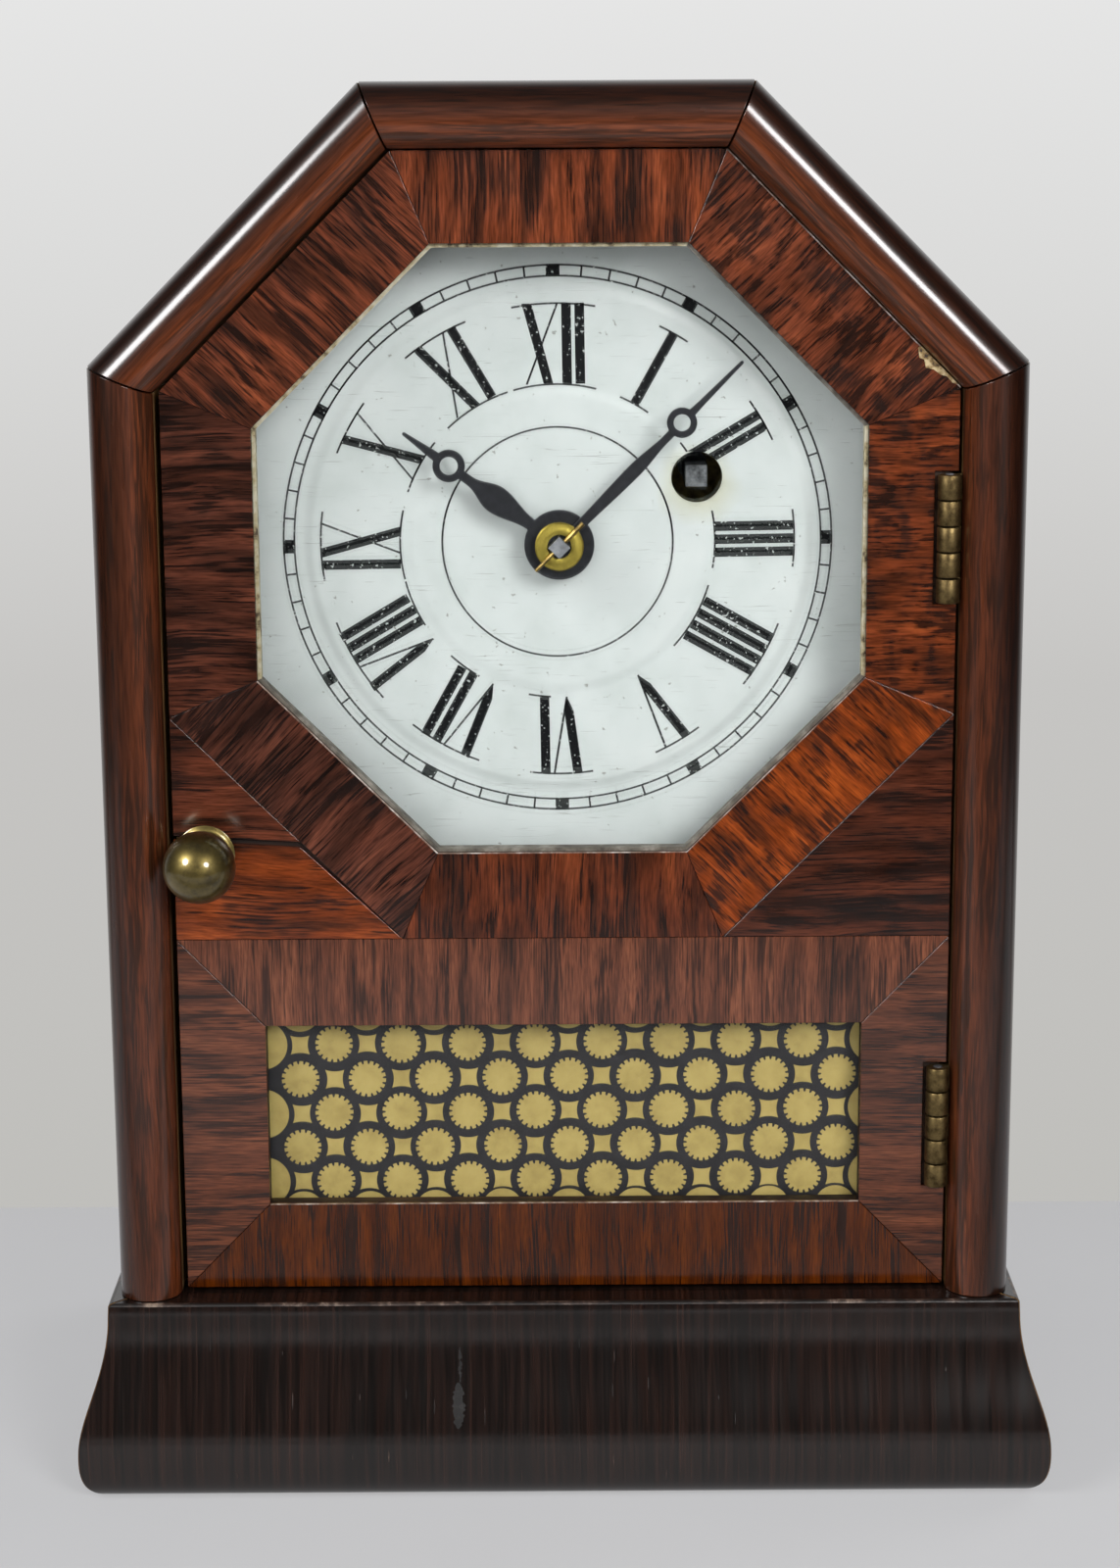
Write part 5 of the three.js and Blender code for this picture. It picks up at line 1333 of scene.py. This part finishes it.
# Setting
# The clock stands on a table top covered with pale paper, in front of a grey wall, in a dark room. Five
# soft lamps light it and two more only gleam on the polish. The camera looks slightly down.
TABLE_FRONT = -350.0
TABLE_BACK = 138.0
TABLE_HALF = 620.0
TABLE_THICK = 22.0
PAPER_GLOW = 0.48  # the paper is lit beyond what the lamps give it, evenly to the eye
FAR_GLOW = 0.44  # but polish mirrors it with a dark band between a near and a far glow
NEAR_BAND = (-98, -74)
FAR_BAND = (-190, -120)
table_rim = [
    (TABLE_HALF, TABLE_FRONT), (TABLE_HALF, TABLE_BACK), (-TABLE_HALF, TABLE_BACK),
    (-TABLE_HALF, TABLE_FRONT),
]
table_points = [at(x, depth, z) for z in (-0.05, -TABLE_THICK) for x, depth in table_rim]
table_faces = [(0, 1, 2, 3), (7, 6, 5, 4)] + [(i, 4 + i, 4 + (i + 1) % 4, (i + 1) % 4) for i in range(4)]
table_mesh = bpy.data.meshes.new("table_top")
table_mesh.from_pydata([tuple(p) for p in table_points], [], table_faces)
# Pale grey paper without any shine, hardly uneven.
paper, paper_tree, paper_shader, _ = mottled(
    "pale_matt_paper", 90, [(0.3, "#89898a"), (0.7, "#8f8f90")], 0.9, detail=4.0
)
paper_rays = add_node(paper_tree, "LightPath").node.outputs
paper_seen = add_node(
    paper_tree, "Math", [paper_rays["Is Camera Ray"], paper_rays["Is Transmission Ray"]], operation="MAXIMUM"
)
seen_glow = add_node(paper_tree, "Math", [paper_seen, PAPER_GLOW], operation="MULTIPLY")
paper_place = add_node(paper_tree, "TexCoord", output="Object")
paper_depth = add_node(paper_tree, "SeparateXYZ", {"Vector": paper_place}, "Y")
far_glow, near_glow = [
    add_node(
        paper_tree, "MapRange", [paper_depth, *(at(0, depth, 0).y for depth in band), front_glow, back_glow],
        interpolation_type="SMOOTHSTEP",
    )
    for band, front_glow, back_glow in ((FAR_BAND, FAR_GLOW, 0.0), (NEAR_BAND, 0.0, PAPER_GLOW))
]
banded_glow = add_node(paper_tree, "Math", [far_glow, near_glow], operation="MAXIMUM")
mirrored_glow = add_node(
    paper_tree, "Math", [paper_rays["Is Glossy Ray"], banded_glow], operation="MULTIPLY"
)
paper_glow = add_node(paper_tree, "Math", [seen_glow, mirrored_glow], operation="MAXIMUM")
feed(paper_tree, paper_shader, {"Emission Color": linear("#e4e4e6"), "Emission Strength": paper_glow})
table_mesh.materials.append(paper)
table_top = bpy.data.objects.new("table_top", table_mesh)
bpy.context.scene.collection.objects.link(table_top)
table_edge = table_top.modifiers.new("rounded_edge", "BEVEL")
table_edge.width = 3 * MM
table_edge.segments = 3

world = bpy.data.worlds.new("dark_studio")
bpy.context.scene.world = world
world.use_nodes = True
world_tree = world.node_tree
way_out = add_node(world_tree, "TexCoord", output="Generated")
way = add_node(world_tree, "SeparateXYZ", {"Vector": way_out}).node.outputs
height = add_node(world_tree, "MapRange", [way["Z"], -1.0, 1.0])
room = add_node(
    world_tree, "ValToRGB", {"Fac": height},
    stops=[(0.48, "#2c2c2e"), (0.75, "#3a3a3c"), (0.9, "#565658"), (1.0, "#646466")],
)
grey_wall = add_node(
    world_tree, "ValToRGB", {"Fac": height},
    stops=[(0.30, "#bdbcb8"), (0.41, "#c6c5c3"), (0.47, "#dadad9"), (0.54, "#ebebeb")],
)
rays = add_node(world_tree, "LightPath").node.outputs
behind = add_node(world_tree, "MapRange", [way["Y"], 0.25, 0.8], interpolation_type="SMOOTHSTEP")
wall_mirrored = add_node(world_tree, "Math", [rays["Is Glossy Ray"], behind], operation="MULTIPLY")
wall_seen = add_node(
    world_tree, "Math", [rays["Is Camera Ray"], rays["Is Transmission Ray"]], operation="MAXIMUM"
)
wall_share = add_node(world_tree, "Math", [wall_seen, wall_mirrored], operation="MAXIMUM")
backdrop = add_node(world_tree, "Mix", {0: wall_share, 6: room, 7: grey_wall}, 2, data_type="RGBA")
feed(world_tree, world_tree.nodes["Background"], {"Color": backdrop, "Strength": 1.0})

CLOCK_MIDDLE = at(0, 20, 130)
# Each lamp: the way to it from the clock, its distance and width in metres, its watts, and if it only gleams.
lamps = [
    ("lamp_left", Vector((-0.68, -0.42, 0.6)), 1.05, 0.5, 4.2, False),
    ("lamp_right", Vector((0.42, -0.84, 0.42)), 1.05, 0.42, 5.8, False),
    ("fill_above", Vector((0.0, -0.7, 0.72)), 1.3, 0.8, 0.5, False),
    ("fill_front", Vector((-0.15, -0.95, 0.14)), 1.3, 0.8, 4.5, False),
    ("fill_behind", Vector((0.8, 0.55, 0.45)), 1.3, 0.8, 4.0, False),
    ("gleam_left", Vector((-0.62, -0.64, 0.42)), 1.05, 0.34, 10.0, True),
    ("gleam_right", Vector((0.43, -0.84, 0.34)), 1.05, 0.28, 8.0, True),
]
for name, towards, away, size, watts, gleams in lamps:
    lamp_data = bpy.data.lights.new(name, "AREA")
    lamp_data.shape = "DISK"
    lamp_data.size = size
    lamp_data.energy = watts
    lamp = bpy.data.objects.new(name, lamp_data)
    bpy.context.scene.collection.objects.link(lamp)
    lamp.visible_glossy = gleams
    lamp.visible_diffuse = not gleams
    lamp.location = CLOCK_MIDDLE + towards.normalized() * away
    lamp.rotation_mode = "QUATERNION"
    lamp.rotation_quaternion = (-towards).to_track_quat("-Z", "Y")

CAMERA_PLACE = at(-0.126, -505.25, 233.5)
LOOK_DOWN = math.radians(12.326)
LEAN = math.radians(-0.34)
camera_data = bpy.data.cameras.new("camera")
camera_data.lens = 71.37
camera_data.sensor_width = 36.0
camera_data.clip_start = 0.01
camera = bpy.data.objects.new("camera", camera_data)
bpy.context.scene.collection.objects.link(camera)
camera.matrix_world = (
    Matrix.Translation(CAMERA_PLACE)
    @ Matrix.Rotation(math.pi / 2 - LOOK_DOWN, 4, "X")
    @ Matrix.Rotation(LEAN, 4, "Z")
)
bpy.context.scene.camera = camera
bpy.context.scene.view_settings.view_transform = "Standard"
